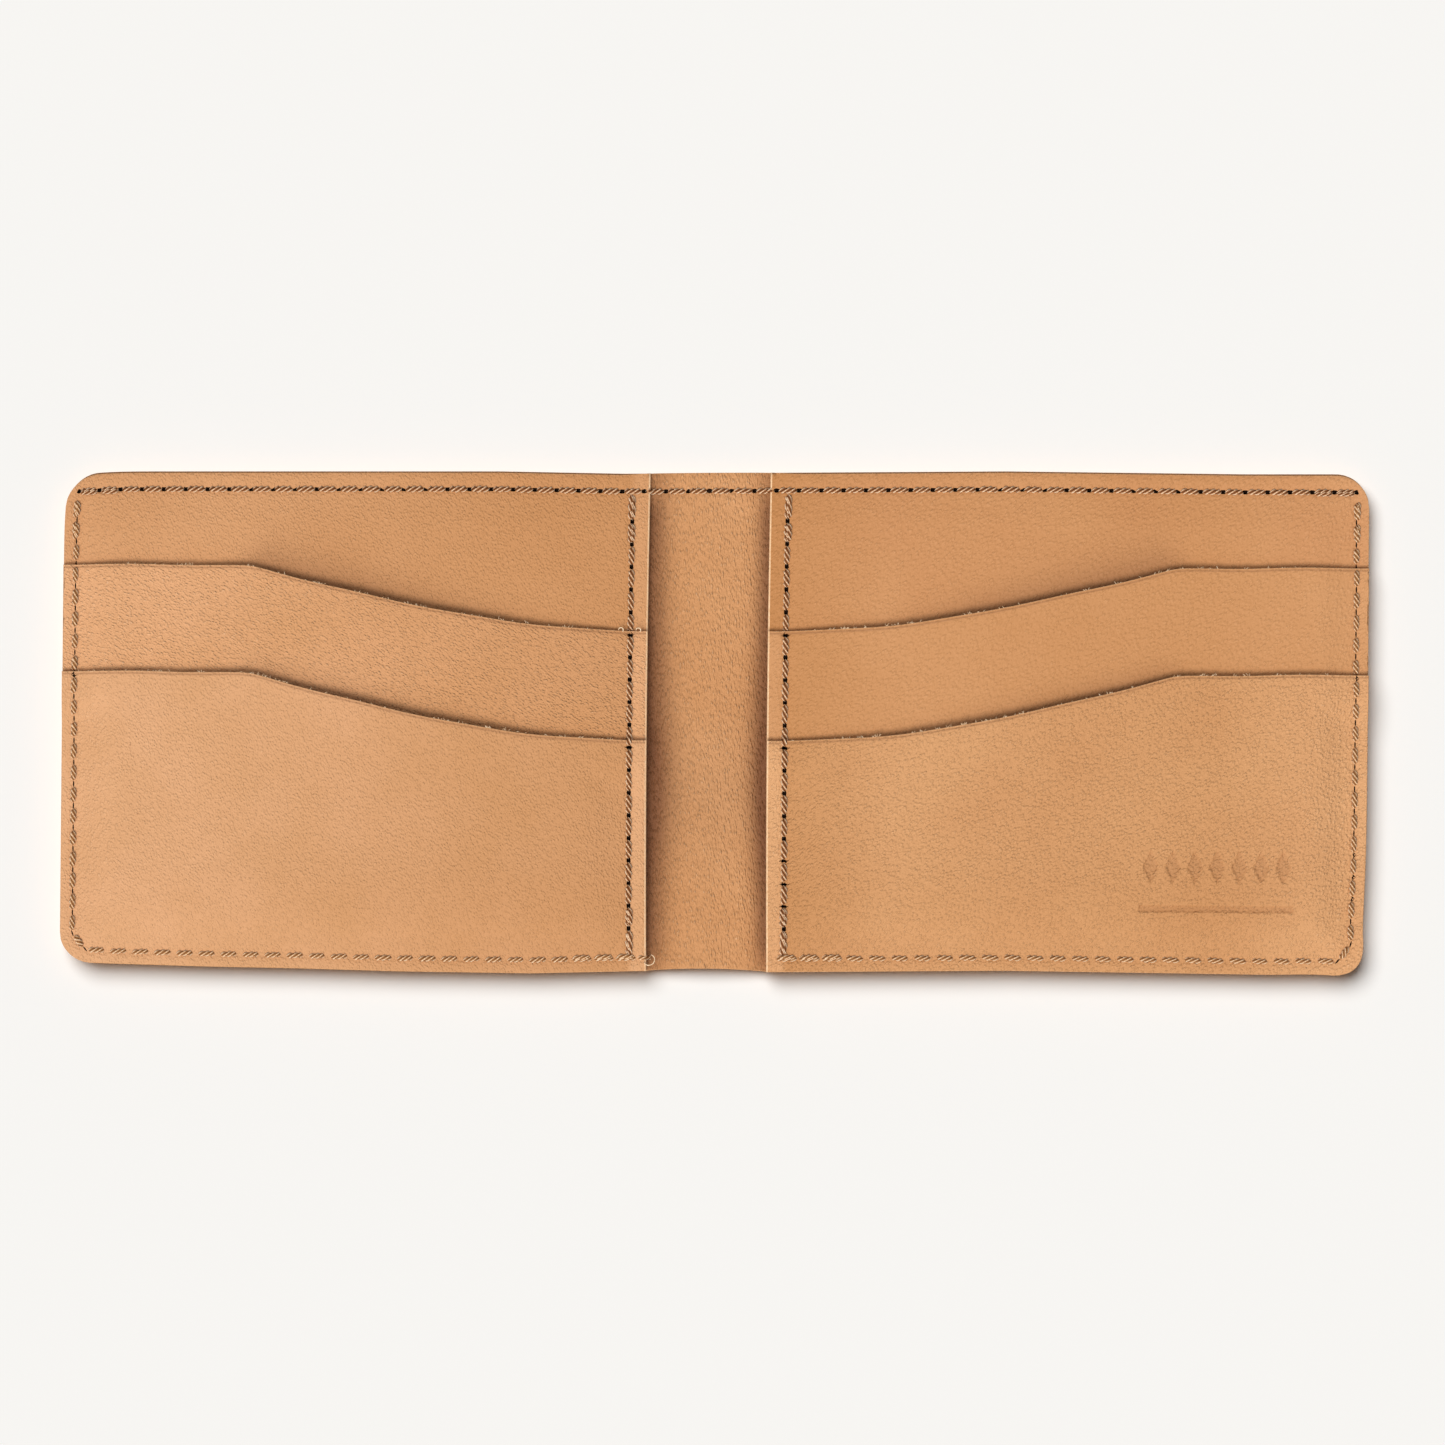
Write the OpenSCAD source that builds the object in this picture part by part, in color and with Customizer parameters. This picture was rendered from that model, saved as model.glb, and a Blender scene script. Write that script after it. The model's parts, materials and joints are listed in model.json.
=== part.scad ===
// Bifold wallet of vegetable-tanned leather, lying open and flat.
// Each half is a stack of leather layers, lockstitched together:
//   outer cover, bill divider, back panel, T-shaped middle pocket, front pocket.
// X runs along the open width, +Y towards the open edge of the bill compartment, +Z up.
// The origin is the middle of the underside. Lengths are in millimetres.

/* [Wallet] */
// Width of the wallet lying open
open_w = 222; // [210:1:240]
// Height of the wallet
wallet_h = 85.6; // [82:0.2:92]
// Radius of the four outer corners
corner_r = 5.5; // [4:0.5:8]
// Width of the bare spine between the two card panels
spine_gap = 20.4; // [19:0.2:24]
// Distance between the two creases that the wallet folds on
crease_gap = 11.2; // [11:0.2:14]

/* [Leather] */
// Thickness of the outer cover
cover_t = 1.6; // [1.4:0.1:2]
// Thickness of the bill divider
divider_t = 0.9; // [0.9:0.1:1.1]
// Thickness of the back panels
panel_t = 1.0; // [1:0.1:1.2]
// Thickness of the middle pockets
middle_t = 0.9; // [0.9:0.1:1.1]
// Thickness of the front pockets
front_t = 1.0; // [0.9:0.1:1.2]
// Room left in the bill compartment
bill_gap = 0.5; // [0.5:0.1:1]
// Room left in the stash pocket behind each card panel
stash_gap = 0.4; // [0.4:0.1:0.8]
// Room left in each card pocket
card_gap = 0.2; // [0.2:0.1:0.4]

/* [Pockets] */
// Depth of the middle pocket's mouth below the top edge, on its level stretch
middle_mouth = 15.7; // [14:0.1:17]
// Depth of the front pocket's mouth below the top edge, on its level stretch
front_mouth = 34.2; // [32:0.1:36]
// Distance from the outer edge to the knee where a mouth starts to fall
knee_in = 32.5; // [25:0.5:45]
// How far the middle mouth falls on its way to the spine
middle_drop = 11.2; // [9:0.1:12]
// How far the front mouth falls on its way to the spine
front_drop = 11.7; // [9:0.1:12]
// Height of the seam that a card in the middle pocket stands on, above the bottom seam
stop_rise = 18.2; // [16:0.1:22]
// Depth of the middle pocket's side tabs below the front mouth
tab_depth = 6.5; // [5:0.5:9]
// How much narrower the middle pocket is below its tabs, on each side
tab_step = 6.3; // [6:0.1:9]

/* [Seams] */
// Top seam below the top edge
top_seam_in = 3.1; // [2.8:0.1:3.5]
// Side seams in from the outer edges
side_seam_in = 2.1; // [2:0.1:3]
// Bottom seams above the bottom edge
bottom_seam_in = 2.3; // [2:0.1:3]
// Inner seams in from the panels' spine edges
inner_seam_in = 3.0; // [2.8:0.1:3.5]
// Stitches in each half of the top seam, counted from the middle of the spine
top_stitches = 29; // [28:1:30]
// Stitches in each perimeter seam
perimeter_stitches = 46; // [45:1:48]
// Stitches in each inner seam
inner_stitches = 20; // [19:1:20]
// Stitches in each stop seam
stop_stitches = 22; // [20:1:24]
// Radius of the needle thread
needle_r = 0.4; // [0.35:0.01:0.42]
// Radius of the bobbin thread
bobbin_r = 0.3; // [0.26:0.01:0.3]
// Radius of a stitch hole
hole_r = 0.5; // [0.48:0.01:0.55]

/* [Stamp] */
// Width of the blind-stamped ornament
stamp_w = 26; // [20:1:28]
// Height of the blind-stamped ornament
stamp_h = 11; // [9:0.5:12]
// Depth of the blind-stamped ornament
stamp_depth = 0.2; // [0.1:0.05:0.3]
// Number of lozenges in the ornament
stamp_count = 7; // [5:2:9]

/* [Colours] */
// Cover, divider and back panels
panel_colour = "#ce9769"; // [#ce9769, #b87f4f, #6f4a2f]
// Middle and front pockets
pocket_colour = "#d99f70"; // [#d99f70, #c08857, #7c5538]
// Thread
thread_colour = "#96704d"; // [#96704d, #efe2c8, #3a2a1e]

/* [Hidden] */
$fn = 48;

half_w = open_w / 2;
half_h = wallet_h / 2;
panel_x = spine_gap / 2;
crease_x = crease_gap / 2;

// Levels of the layers, from the table up
cover_top = cover_t;
divider_z = cover_top + bill_gap;
divider_top = divider_z + divider_t;
panel_z = divider_top + stash_gap;
panel_top = panel_z + panel_t;
middle_z = panel_top + card_gap;
middle_top = middle_z + middle_t;
front_z = middle_top + card_gap;
front_top = front_z + front_t;

// The cover and divider are one piece each, parted at the creases so that they can fold
cover_part = 0.15;
divider_half_x = crease_x + 0.1;
divider_spine_x = crease_x - 1.2;

// Pocket mouths, in the wallet's frame
knee_x = half_w - knee_in;
mouth_run = knee_x - panel_x;
mouth_power = 1.8;
mouth_steps = 18;
middle_mouth_y = half_h - middle_mouth;
front_mouth_y = half_h - front_mouth;
stop_margin = 3;

// Seam lines
top_y = half_h - top_seam_in;
side_x = half_w - side_seam_in;
bottom_y = bottom_seam_in - half_h;
inner_x = panel_x + inner_seam_in;
seam_corner_r = corner_r - side_seam_in;
stop_y = bottom_y + stop_rise;
seam_gap = 1.3;
perimeter_end_x = inner_x - 1.4;
stop_end_in = 2.2;
top_pitch = side_x / top_stitches;
side_run = top_y - seam_gap - (bottom_y + seam_corner_r);
corner_run = PI / 2 * seam_corner_r;
bottom_run = side_x - seam_corner_r - perimeter_end_x;
perimeter_run = side_run + corner_run + bottom_run;

// Thread inside the holes
leg_r = 0.19;
link_r = 0.16;
leg_off = hole_r - leg_r - 0.04;
leg_tip = link_r + 0.06;
bar_inset = leg_off - leg_r - 0.03;
slack = 0.03;
through = 1;
stop_sink = 0.2;

// The ornament's middle from the outer edge and above the bottom seam, and its proportions
stamp_in = 25.2;
stamp_rise = 14;
lozenge_w_share = 0.8;
lozenge_h_share = 0.6;
rule_h = 0.9;

// Heights at which each seam's two threads meet, and at which its bobbin thread runs
perimeter_needle_link = divider_top - 0.1;
perimeter_bobbin_link = divider_z + 0.3;
perimeter_bobbin_z = bobbin_r + 0.02;
top_needle_link = divider_z + 0.65;
top_bobbin_z = divider_z + 0.05;
spine_needle_z = divider_top + 0.1;
panel_needle_link = panel_z + 0.65;
panel_bobbin_z = panel_z + 0.05;

// How far a mouth has fallen below its level stretch at x
function mouth_fall(x, drop) =
    x >= knee_x ? 0 : drop * (1 - pow(1 - (knee_x - x) / mouth_run, mouth_power));
function middle_mouth_at(x) = middle_mouth_y - mouth_fall(x, middle_drop);
function front_mouth_at(x) = front_mouth_y - mouth_fall(x, front_drop);

// Top of the leather at a point of the right half
function top_at(p) =
    p[1] < front_mouth_at(p[0]) ? front_top :
    p[1] < middle_mouth_at(p[0]) ? middle_top : panel_top;
function bar_level(a, b) = max(top_at(a), top_at(b));

// Seams as lists of hole centres on the right half, from the spine or the top outwards
function top_holes() = [for (i = [2 : top_stitches]) [i * top_pitch, top_y]];
function spine_holes() = [for (i = [-1 : 1]) [i * top_pitch, top_y]];
function spread(a, b, count) = [for (i = [0 : count]) a + (b - a) * i / count];
function inner_holes() =
    spread([inner_x, top_y - seam_gap], [inner_x, bottom_y + seam_gap], inner_stitches);
function stop_holes() =
    spread([panel_x + tab_step + stop_end_in, stop_y],
           [half_w - tab_step - stop_end_in, stop_y], stop_stitches);
function perimeter_point(s) =
    s < side_run ? [side_x, top_y - seam_gap - s] :
    s < side_run + corner_run ? corner_point((s - side_run) / seam_corner_r * 180 / PI) :
    [side_x - seam_corner_r - (s - side_run - corner_run), bottom_y];
function corner_point(a) =
    [side_x - seam_corner_r + seam_corner_r * cos(a),
     bottom_y + seam_corner_r - seam_corner_r * sin(a)];
function perimeter_holes() =
    [for (i = [0 : perimeter_stitches]) perimeter_point(perimeter_run * i / perimeter_stitches)];

function towards(a, b) = (b - a) / norm(b - a);

// A straight round rod between two points
module rod(a, b, r) {
    run = b - a;
    translate(a)
        rotate([0, acos(run[2] / norm(run)), atan2(run[1], run[0])])
            cylinder(r = r, h = norm(run));
}

// Bar of thread between two holes, at height z
module bar(a, b, z, r) {
    step = towards(a, b) * bar_inset;
    rod([a[0] + step[0], a[1] + step[1], z], [b[0] - step[0], b[1] - step[1], z], r);
}

// Leg of thread in the hole at a, on the side towards b, between two heights.
// At the link it runs on a little, past the link's underside or top.
module leg(a, b, z_low, z_high) {
    at = a + towards(a, b) * leg_off;
    translate([at[0], at[1], z_low])
        cylinder(r = leg_r, h = z_high - z_low);
}

// Link of thread inside hole b, joining the legs of its two stitches
module link(a, b, c, z) {
    from = b + towards(b, a) * leg_off;
    to = b + towards(b, c) * leg_off;
    rod([from[0], from[1], z], [to[0], to[1], z], link_r);
}

// Needle thread: bars on the leather's face, with legs down to the links.
// top is the leather's height at a bar, or below zero where the layers under it decide.
module needle_thread(holes, link_z, r, top = -1, sink = 0) {
    last = len(holes) - 1;
    color(thread_colour) {
        for (i = [0 : last - 1]) {
            z = (top < 0 ? bar_level(holes[i], holes[i + 1]) : top) - sink;
            bar(holes[i], holes[i + 1], z, r);
            leg(holes[i], holes[i + 1], link_z - leg_tip, z);
            leg(holes[i + 1], holes[i], link_z - leg_tip, z);
        }
        for (i = [1 : last - 1])
            link(holes[i - 1], holes[i], holes[i + 1], link_z);
    }
}

// Bobbin thread: bars under the leather, with legs up to the links where these lie higher
module bobbin_thread(holes, link_z, bar_z) {
    last = len(holes) - 1;
    color(thread_colour) {
        for (i = [0 : last - 1]) {
            bar(holes[i], holes[i + 1], bar_z, bobbin_r);
            if (link_z > bar_z + bobbin_r) {
                leg(holes[i], holes[i + 1], bar_z, link_z + leg_tip);
                leg(holes[i + 1], holes[i], bar_z, link_z + leg_tip);
            }
        }
        for (i = [1 : last - 1])
            link(holes[i - 1], holes[i], holes[i + 1], link_z);
    }
}

// Stitch holes through the layer that lies between two heights
module holes_through(holes, z_low, z_high) {
    for (p = holes)
        translate([p[0], p[1], z_low - through])
            cylinder(r = hole_r, h = z_high - z_low + 2 * through);
}

// Slot for one bar of thread, between two heights
module slot(a, b, r, z_low, z_high) {
    run = b - a;
    width = 2 * (r + slack);
    translate([a[0], a[1], z_low])
        rotate(atan2(run[1], run[0]))
            translate([bar_inset - slack, -width / 2, 0])
                cube([norm(run) - 2 * (bar_inset - slack), width, z_high - z_low]);
}

// Grooves that the needle thread has pulled into a layer, under the bars that lie on it
module grooves(holes, top) {
    for (i = [0 : len(holes) - 2])
        if (bar_level(holes[i], holes[i + 1]) == top)
            slot(holes[i], holes[i + 1], needle_r, top - needle_r - slack, top + through);
}

// Slots in a layer's underside for the bobbin thread
module under_slots(holes, bar_z, under) {
    for (i = [0 : len(holes) - 2])
        slot(holes[i], holes[i + 1], bobbin_r, under - through, bar_z + bobbin_r + slack);
}

// Outline of the right half from x to the outer edge, with two rounded corners
module half_outline(x) {
    translate([x, -half_h])
        square([half_w - corner_r - x, wallet_h]);
    translate([x, corner_r - half_h])
        square([half_w - x, wallet_h - 2 * corner_r]);
    for (side = [-1, 1])
        translate([half_w - corner_r, side * (half_h - corner_r)])
            circle(r = corner_r);
}

// Points of a pocket's mouth, from the outer edge to the spine edge
function mouth_points(level, drop) = concat(
    [[half_w, level]],
    [for (i = [0 : mouth_steps])
        let (x = knee_x - mouth_run * i / mouth_steps) [x, level - mouth_fall(x, drop)]]
);

module sheet(z, thickness) {
    translate([0, 0, z])
        linear_extrude(thickness)
            children();
}

module strip(half_width, z, thickness) {
    translate([-half_width, -half_h, z])
        cube([2 * half_width, wallet_h, thickness]);
}

// Right half's leather. The left half is its mirror image, apart from the stamp.
module half_outer_cover() {
    color(panel_colour)
        difference() {
            sheet(0, cover_t) half_outline(crease_x + cover_part);
            holes_through(perimeter_holes(), 0, cover_top);
            under_slots(perimeter_holes(), perimeter_bobbin_z, 0);
        }
}

module half_bill_divider() {
    color(panel_colour)
        difference() {
            sheet(divider_z, divider_t) half_outline(divider_half_x);
            holes_through(perimeter_holes(), divider_z, divider_top);
            holes_through(top_holes(), divider_z, divider_top);
            under_slots(top_holes(), top_bobbin_z, divider_z);
        }
}

module half_back_panel() {
    seam = [for (p = top_holes()) if (p[0] > panel_x) p];
    color(panel_colour)
        difference() {
            sheet(panel_z, panel_t) half_outline(panel_x);
            holes_through(seam, panel_z, panel_top);
            holes_through(inner_holes(), panel_z, panel_top);
            holes_through(perimeter_holes(), panel_z, panel_top);
            holes_through(stop_holes(), panel_z, panel_top);
            grooves(top_holes(), panel_top);
            grooves(inner_holes(), panel_top);
            grooves(perimeter_holes(), panel_top);
            under_slots(inner_holes(), panel_bobbin_z, panel_z);
            under_slots(stop_holes(), panel_bobbin_z, panel_z);
        }
}

module middle_outline() {
    outer_x = half_w - tab_step;
    inner_edge = panel_x + tab_step;
    foot_y = stop_y - stop_margin;
    outer_tab_y = front_mouth_y - tab_depth;
    inner_tab_y = front_mouth_at(panel_x) - tab_depth;
    polygon(concat(mouth_points(middle_mouth_y, middle_drop), [
        [panel_x, inner_tab_y],
        [inner_edge, inner_tab_y],
        [inner_edge, foot_y],
        [outer_x, foot_y],
        [outer_x, outer_tab_y],
        [half_w, outer_tab_y]
    ]));
}

module half_middle_pocket() {
    outer_tab_y = front_mouth_y - tab_depth;
    inner_tab_y = front_mouth_at(panel_x) - tab_depth;
    inner = [for (p = inner_holes())
        if (p[1] < middle_mouth_at(p[0]) && p[1] > inner_tab_y) p];
    side = [for (p = perimeter_holes())
        if (p[1] < middle_mouth_at(p[0]) && p[1] > outer_tab_y) p];
    color(pocket_colour)
        difference() {
            sheet(middle_z, middle_t) middle_outline();
            holes_through(inner, middle_z, middle_top);
            holes_through(side, middle_z, middle_top);
            holes_through(stop_holes(), middle_z, middle_top);
            grooves(inner_holes(), middle_top);
            grooves(perimeter_holes(), middle_top);
            for (i = [0 : stop_stitches - 1])
                slot(stop_holes()[i], stop_holes()[i + 1], bobbin_r,
                     middle_top - stop_sink - bobbin_r - slack, middle_top + through);
        }
}

module half_front_pocket() {
    inner = [for (p = inner_holes()) if (p[1] < front_mouth_at(p[0])) p];
    side = [for (p = perimeter_holes()) if (p[1] < front_mouth_at(p[0])) p];
    color(pocket_colour)
        difference() {
            sheet(front_z, front_t)
                intersection() {
                    half_outline(panel_x);
                    polygon(concat(mouth_points(front_mouth_y, front_drop),
                                   [[panel_x, -half_h], [half_w, -half_h]]));
                }
            holes_through(inner, front_z, front_top);
            holes_through(side, front_z, front_top);
            grooves(inner_holes(), front_top);
            grooves(perimeter_holes(), front_top);
        }
}

// Blind-stamped ornament: a row of lozenges over a rule
module stamp() {
    pitch = stamp_w / stamp_count;
    lozenge_w = pitch * lozenge_w_share;
    lozenge_h = stamp_h * lozenge_h_share;
    stamp_x = half_w - stamp_in;
    stamp_y = bottom_y + stamp_rise;
    translate([stamp_x, stamp_y, front_top - stamp_depth])
        linear_extrude(stamp_depth + through) {
            for (i = [0 : stamp_count - 1])
                translate([(i + 0.5) * pitch - stamp_w / 2, (stamp_h - lozenge_h) / 2])
                    polygon([[-lozenge_w / 2, 0], [0, -lozenge_h / 2],
                             [lozenge_w / 2, 0], [0, lozenge_h / 2]]);
            translate([-stamp_w / 2, -stamp_h / 2])
                square([stamp_w, rule_h]);
        }
}

module left() {
    mirror([1, 0, 0]) children();
}

module half_top_needle_thread() {
    needle_thread(top_holes(), top_needle_link, needle_r);
}

module half_top_bobbin_thread() {
    bobbin_thread(top_holes(), top_bobbin_z, top_bobbin_z);
}

module half_inner_needle_thread() {
    needle_thread(inner_holes(), panel_needle_link, needle_r);
}

module half_inner_bobbin_thread() {
    bobbin_thread(inner_holes(), panel_bobbin_z, panel_bobbin_z);
}

module half_perimeter_needle_thread() {
    needle_thread(perimeter_holes(), perimeter_needle_link, needle_r);
}

module half_perimeter_bobbin_thread() {
    bobbin_thread(perimeter_holes(), perimeter_bobbin_link, perimeter_bobbin_z);
}

module half_stop_needle_thread() {
    needle_thread(stop_holes(), panel_needle_link, bobbin_r, middle_top, stop_sink);
}

module half_stop_bobbin_thread() {
    bobbin_thread(stop_holes(), panel_bobbin_z, panel_bobbin_z);
}

// Left half
module left_outer_cover() { left() half_outer_cover(); }
module left_bill_divider() { left() half_bill_divider(); }
module left_back_panel() { left() half_back_panel(); }
module left_middle_pocket() { left() half_middle_pocket(); }
module left_front_pocket() { left() half_front_pocket(); }
module left_top_needle_thread() { left() half_top_needle_thread(); }
module left_top_bobbin_thread() { left() half_top_bobbin_thread(); }
module left_inner_needle_thread() { left() half_inner_needle_thread(); }
module left_inner_bobbin_thread() { left() half_inner_bobbin_thread(); }
module left_perimeter_needle_thread() { left() half_perimeter_needle_thread(); }
module left_perimeter_bobbin_thread() { left() half_perimeter_bobbin_thread(); }
module left_stop_needle_thread() { left() half_stop_needle_thread(); }
module left_stop_bobbin_thread() { left() half_stop_bobbin_thread(); }

// Spine
module spine_outer_cover() {
    color(panel_colour)
        strip(crease_x - cover_part, 0, cover_t);
}

module spine_bill_divider() {
    color(panel_colour)
        difference() {
            strip(divider_spine_x, divider_z, divider_t);
            holes_through(spine_holes(), divider_z, divider_top);
            under_slots(spine_holes(), top_bobbin_z, divider_z);
            for (i = [0, 1])
                slot(spine_holes()[i], spine_holes()[i + 1], needle_r,
                     spine_needle_z - needle_r - slack, divider_top + through);
        }
}

module spine_needle_thread() {
    needle_thread(spine_holes(), top_needle_link, needle_r, spine_needle_z);
}

module spine_bobbin_thread() {
    bobbin_thread(spine_holes(), top_bobbin_z, top_bobbin_z);
}

// Right half
module right_outer_cover() { half_outer_cover(); }
module right_bill_divider() { half_bill_divider(); }
module right_back_panel() { half_back_panel(); }
module right_middle_pocket() { half_middle_pocket(); }
module right_front_pocket() {
    color(pocket_colour)
        difference() {
            half_front_pocket();
            stamp();
        }
}
module right_top_needle_thread() { half_top_needle_thread(); }
module right_top_bobbin_thread() { half_top_bobbin_thread(); }
module right_inner_needle_thread() { half_inner_needle_thread(); }
module right_inner_bobbin_thread() { half_inner_bobbin_thread(); }
module right_perimeter_needle_thread() { half_perimeter_needle_thread(); }
module right_perimeter_bobbin_thread() { half_perimeter_bobbin_thread(); }
module right_stop_needle_thread() { half_stop_needle_thread(); }
module right_stop_bobbin_thread() { half_stop_bobbin_thread(); }

left_outer_cover();
left_bill_divider();
left_back_panel();
left_middle_pocket();
left_front_pocket();
left_top_needle_thread();
left_top_bobbin_thread();
left_inner_needle_thread();
left_inner_bobbin_thread();
left_perimeter_needle_thread();
left_perimeter_bobbin_thread();
left_stop_needle_thread();
left_stop_bobbin_thread();
spine_outer_cover();
spine_bill_divider();
spine_needle_thread();
spine_bobbin_thread();
right_outer_cover();
right_bill_divider();
right_back_panel();
right_middle_pocket();
right_front_pocket();
right_top_needle_thread();
right_top_bobbin_thread();
right_inner_needle_thread();
right_inner_bobbin_thread();
right_perimeter_needle_thread();
right_perimeter_bobbin_thread();
right_stop_needle_thread();
right_stop_bobbin_thread();
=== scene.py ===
import json
import math
import random

import bmesh
import bpy
import numpy as np
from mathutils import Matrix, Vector
from mathutils.kdtree import KDTree


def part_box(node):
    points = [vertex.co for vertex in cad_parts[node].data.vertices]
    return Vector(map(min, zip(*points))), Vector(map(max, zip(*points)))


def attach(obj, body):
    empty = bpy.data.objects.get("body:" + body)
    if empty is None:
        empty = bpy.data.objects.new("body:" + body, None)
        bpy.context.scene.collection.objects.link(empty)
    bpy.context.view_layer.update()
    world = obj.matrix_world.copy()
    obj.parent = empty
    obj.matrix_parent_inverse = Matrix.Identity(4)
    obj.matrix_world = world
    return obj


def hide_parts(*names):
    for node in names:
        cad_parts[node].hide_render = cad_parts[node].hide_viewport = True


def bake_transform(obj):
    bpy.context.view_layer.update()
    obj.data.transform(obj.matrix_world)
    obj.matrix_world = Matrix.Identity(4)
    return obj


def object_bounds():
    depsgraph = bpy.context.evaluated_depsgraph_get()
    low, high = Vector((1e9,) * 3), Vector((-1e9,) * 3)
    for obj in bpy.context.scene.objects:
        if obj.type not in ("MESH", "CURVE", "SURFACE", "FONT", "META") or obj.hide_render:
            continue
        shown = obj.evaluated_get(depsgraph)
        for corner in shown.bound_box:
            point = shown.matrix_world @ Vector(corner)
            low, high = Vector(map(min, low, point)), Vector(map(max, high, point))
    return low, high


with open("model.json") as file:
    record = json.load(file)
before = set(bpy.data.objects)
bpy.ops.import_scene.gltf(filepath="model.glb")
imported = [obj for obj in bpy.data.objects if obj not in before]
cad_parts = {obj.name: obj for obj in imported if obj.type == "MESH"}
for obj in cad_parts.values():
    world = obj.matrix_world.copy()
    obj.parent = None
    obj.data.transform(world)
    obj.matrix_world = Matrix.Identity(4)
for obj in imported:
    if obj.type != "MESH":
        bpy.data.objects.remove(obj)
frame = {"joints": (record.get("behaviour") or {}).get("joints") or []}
cad_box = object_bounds()

# Shapes are worked out in millimetres and turned to metres when a piece is finished.
MM = 0.001


# ---------------- camera
# A long lens straight above the open wallet, which fills nine tenths of the picture's width.

SENSOR = 36.0
CAMERA_HEIGHT = 1.2
PICTURE_W = (cad_box[1].x - cad_box[0].x) * 1.1065
LOOK_AT = Vector((1.3 * MM, 0, 4.5 * MM))


def make_camera():
    data = bpy.data.cameras.new("camera")
    data.sensor_width = SENSOR
    data.lens = SENSOR * CAMERA_HEIGHT / PICTURE_W
    data.clip_start, data.clip_end = 0.01, 20
    camera = bpy.data.objects.new("camera", data)
    camera.location = LOOK_AT + Vector((0, 0, CAMERA_HEIGHT))
    bpy.context.scene.collection.objects.link(camera)
    bpy.context.scene.camera = camera


make_camera()


# ---------------- sizes
# Everything follows from the boxes of the CAD nodes. Heights are levels above the table.

def box_mm(node):
    low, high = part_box(node)
    return low / MM, high / MM


HALF_W = cad_box[1].x / MM
HALF_H = cad_box[1].y / MM
CORNER_R = 5.5
COVER_T = box_mm("right_outer_cover")[1].z
DIVIDER_Z, DIVIDER_TOP = (corner.z for corner in box_mm("right_bill_divider"))
DIVIDER_T = DIVIDER_TOP - DIVIDER_Z
PANEL_LOW, PANEL_HIGH = box_mm("right_back_panel")
MIDDLE_LOW, MIDDLE_HIGH = box_mm("right_middle_pocket")
FRONT_LOW, FRONT_HIGH = box_mm("right_front_pocket")
PANEL_X = PANEL_LOW.x
PANEL_T = PANEL_HIGH.z - PANEL_LOW.z
MIDDLE_T = MIDDLE_HIGH.z - MIDDLE_LOW.z
FRONT_T = FRONT_HIGH.z - FRONT_LOW.z

# Room between the layers where nothing holds them together, and where a seam does
BILL_GAP = DIVIDER_Z - COVER_T
STASH_GAP = PANEL_LOW.z - DIVIDER_TOP
CARD_GAP = 0.2
SEWN_GAP = 0.03

# Pocket mouths: level from the outer edge to the knee, then falling towards the spine. The
# middle pocket's is cut a hair lower than its CAD box.
MIDDLE_MOUTH = MIDDLE_HIGH.y - 0.25
FRONT_MOUTH = FRONT_HIGH.y
KNEE_X = HALF_W - 32.5
MIDDLE_DROP = 11.2
FRONT_DROP = 11.7
MIDDLE_LINE = (MIDDLE_MOUTH, MIDDLE_DROP)
FRONT_LINE = (FRONT_MOUTH, FRONT_DROP)
MOUTH_POWER = 1.8
KNEE_ROUNDING = 1.6

# The middle pocket's T: tabs that reach the seams, and a narrower body below them
FOOT_Y = MIDDLE_LOW.y
TAB_STEP = 6.3
TAB_DEPTH = 6.5
OUTER_TAB_Y = FRONT_MOUTH - TAB_DEPTH
INNER_TAB_Y = FRONT_MOUTH - FRONT_DROP - TAB_DEPTH

# Seams
THREAD_R = 0.4
PLIES = 3
TOP_SEAM_Y = box_mm("right_top_needle_thread")[1].y - THREAD_R
PERIMETER_LOW, PERIMETER_HIGH = box_mm("right_perimeter_needle_thread")
SIDE_SEAM_X = PERIMETER_HIGH.x - THREAD_R
BOTTOM_SEAM_Y = PERIMETER_LOW.y + THREAD_R
INNER_SEAM_X = box_mm("right_inner_needle_thread")[1].x - THREAD_R
SEAM_GAP = 1.3
SEAM_CORNER_R = CORNER_R - (HALF_W - SIDE_SEAM_X)
PERIMETER_END_X = INNER_SEAM_X - 1.4
STOP_SEAM_Y = BOTTOM_SEAM_Y + 18.2
STOP_SEAM_INSET = TAB_STEP + 2.2
TOP_STITCHES = 29
PERIMETER_STITCHES = 46
INNER_STITCHES = 20
STOP_STITCHES = 22

# The two creases
CREASE_X = frame["joints"][1]["pos_m"][0] / MM

LEFT, RIGHT = -1, 1
SIDE_NAMES = {LEFT: "left", RIGHT: "right"}


# ---------------- the wallet's form
# x is the distance from the middle of the spine, the same on both halves.

# How far from a seam the layers still lie close, and how far and deep a pocket's mouth gapes
EDGE_REACH = 7
SEAM_REACH = 6
GAPE = 0.9
OUTER_GAPE_SHARE = 0.22
GAPE_DEPTH = 8.5


def smooth(low, high, t):
    """0 below low, 1 above high, and an even rise between them."""
    t = np.clip((t - low) / (high - low), 0, 1)
    return t * t * (3 - 2 * t)


def mouth_y(x, level, drop):
    """Height of a pocket's mouth at x. Its knee is rounded over a few millimetres."""
    inwards = (KNEE_X - x + np.sqrt((KNEE_X - x) ** 2 + KNEE_ROUNDING ** 2)) / 2
    fall = np.clip(inwards / (KNEE_X - PANEL_X), 0, 1)
    return level - drop * (1 - (1 - fall) ** MOUTH_POWER)


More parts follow.
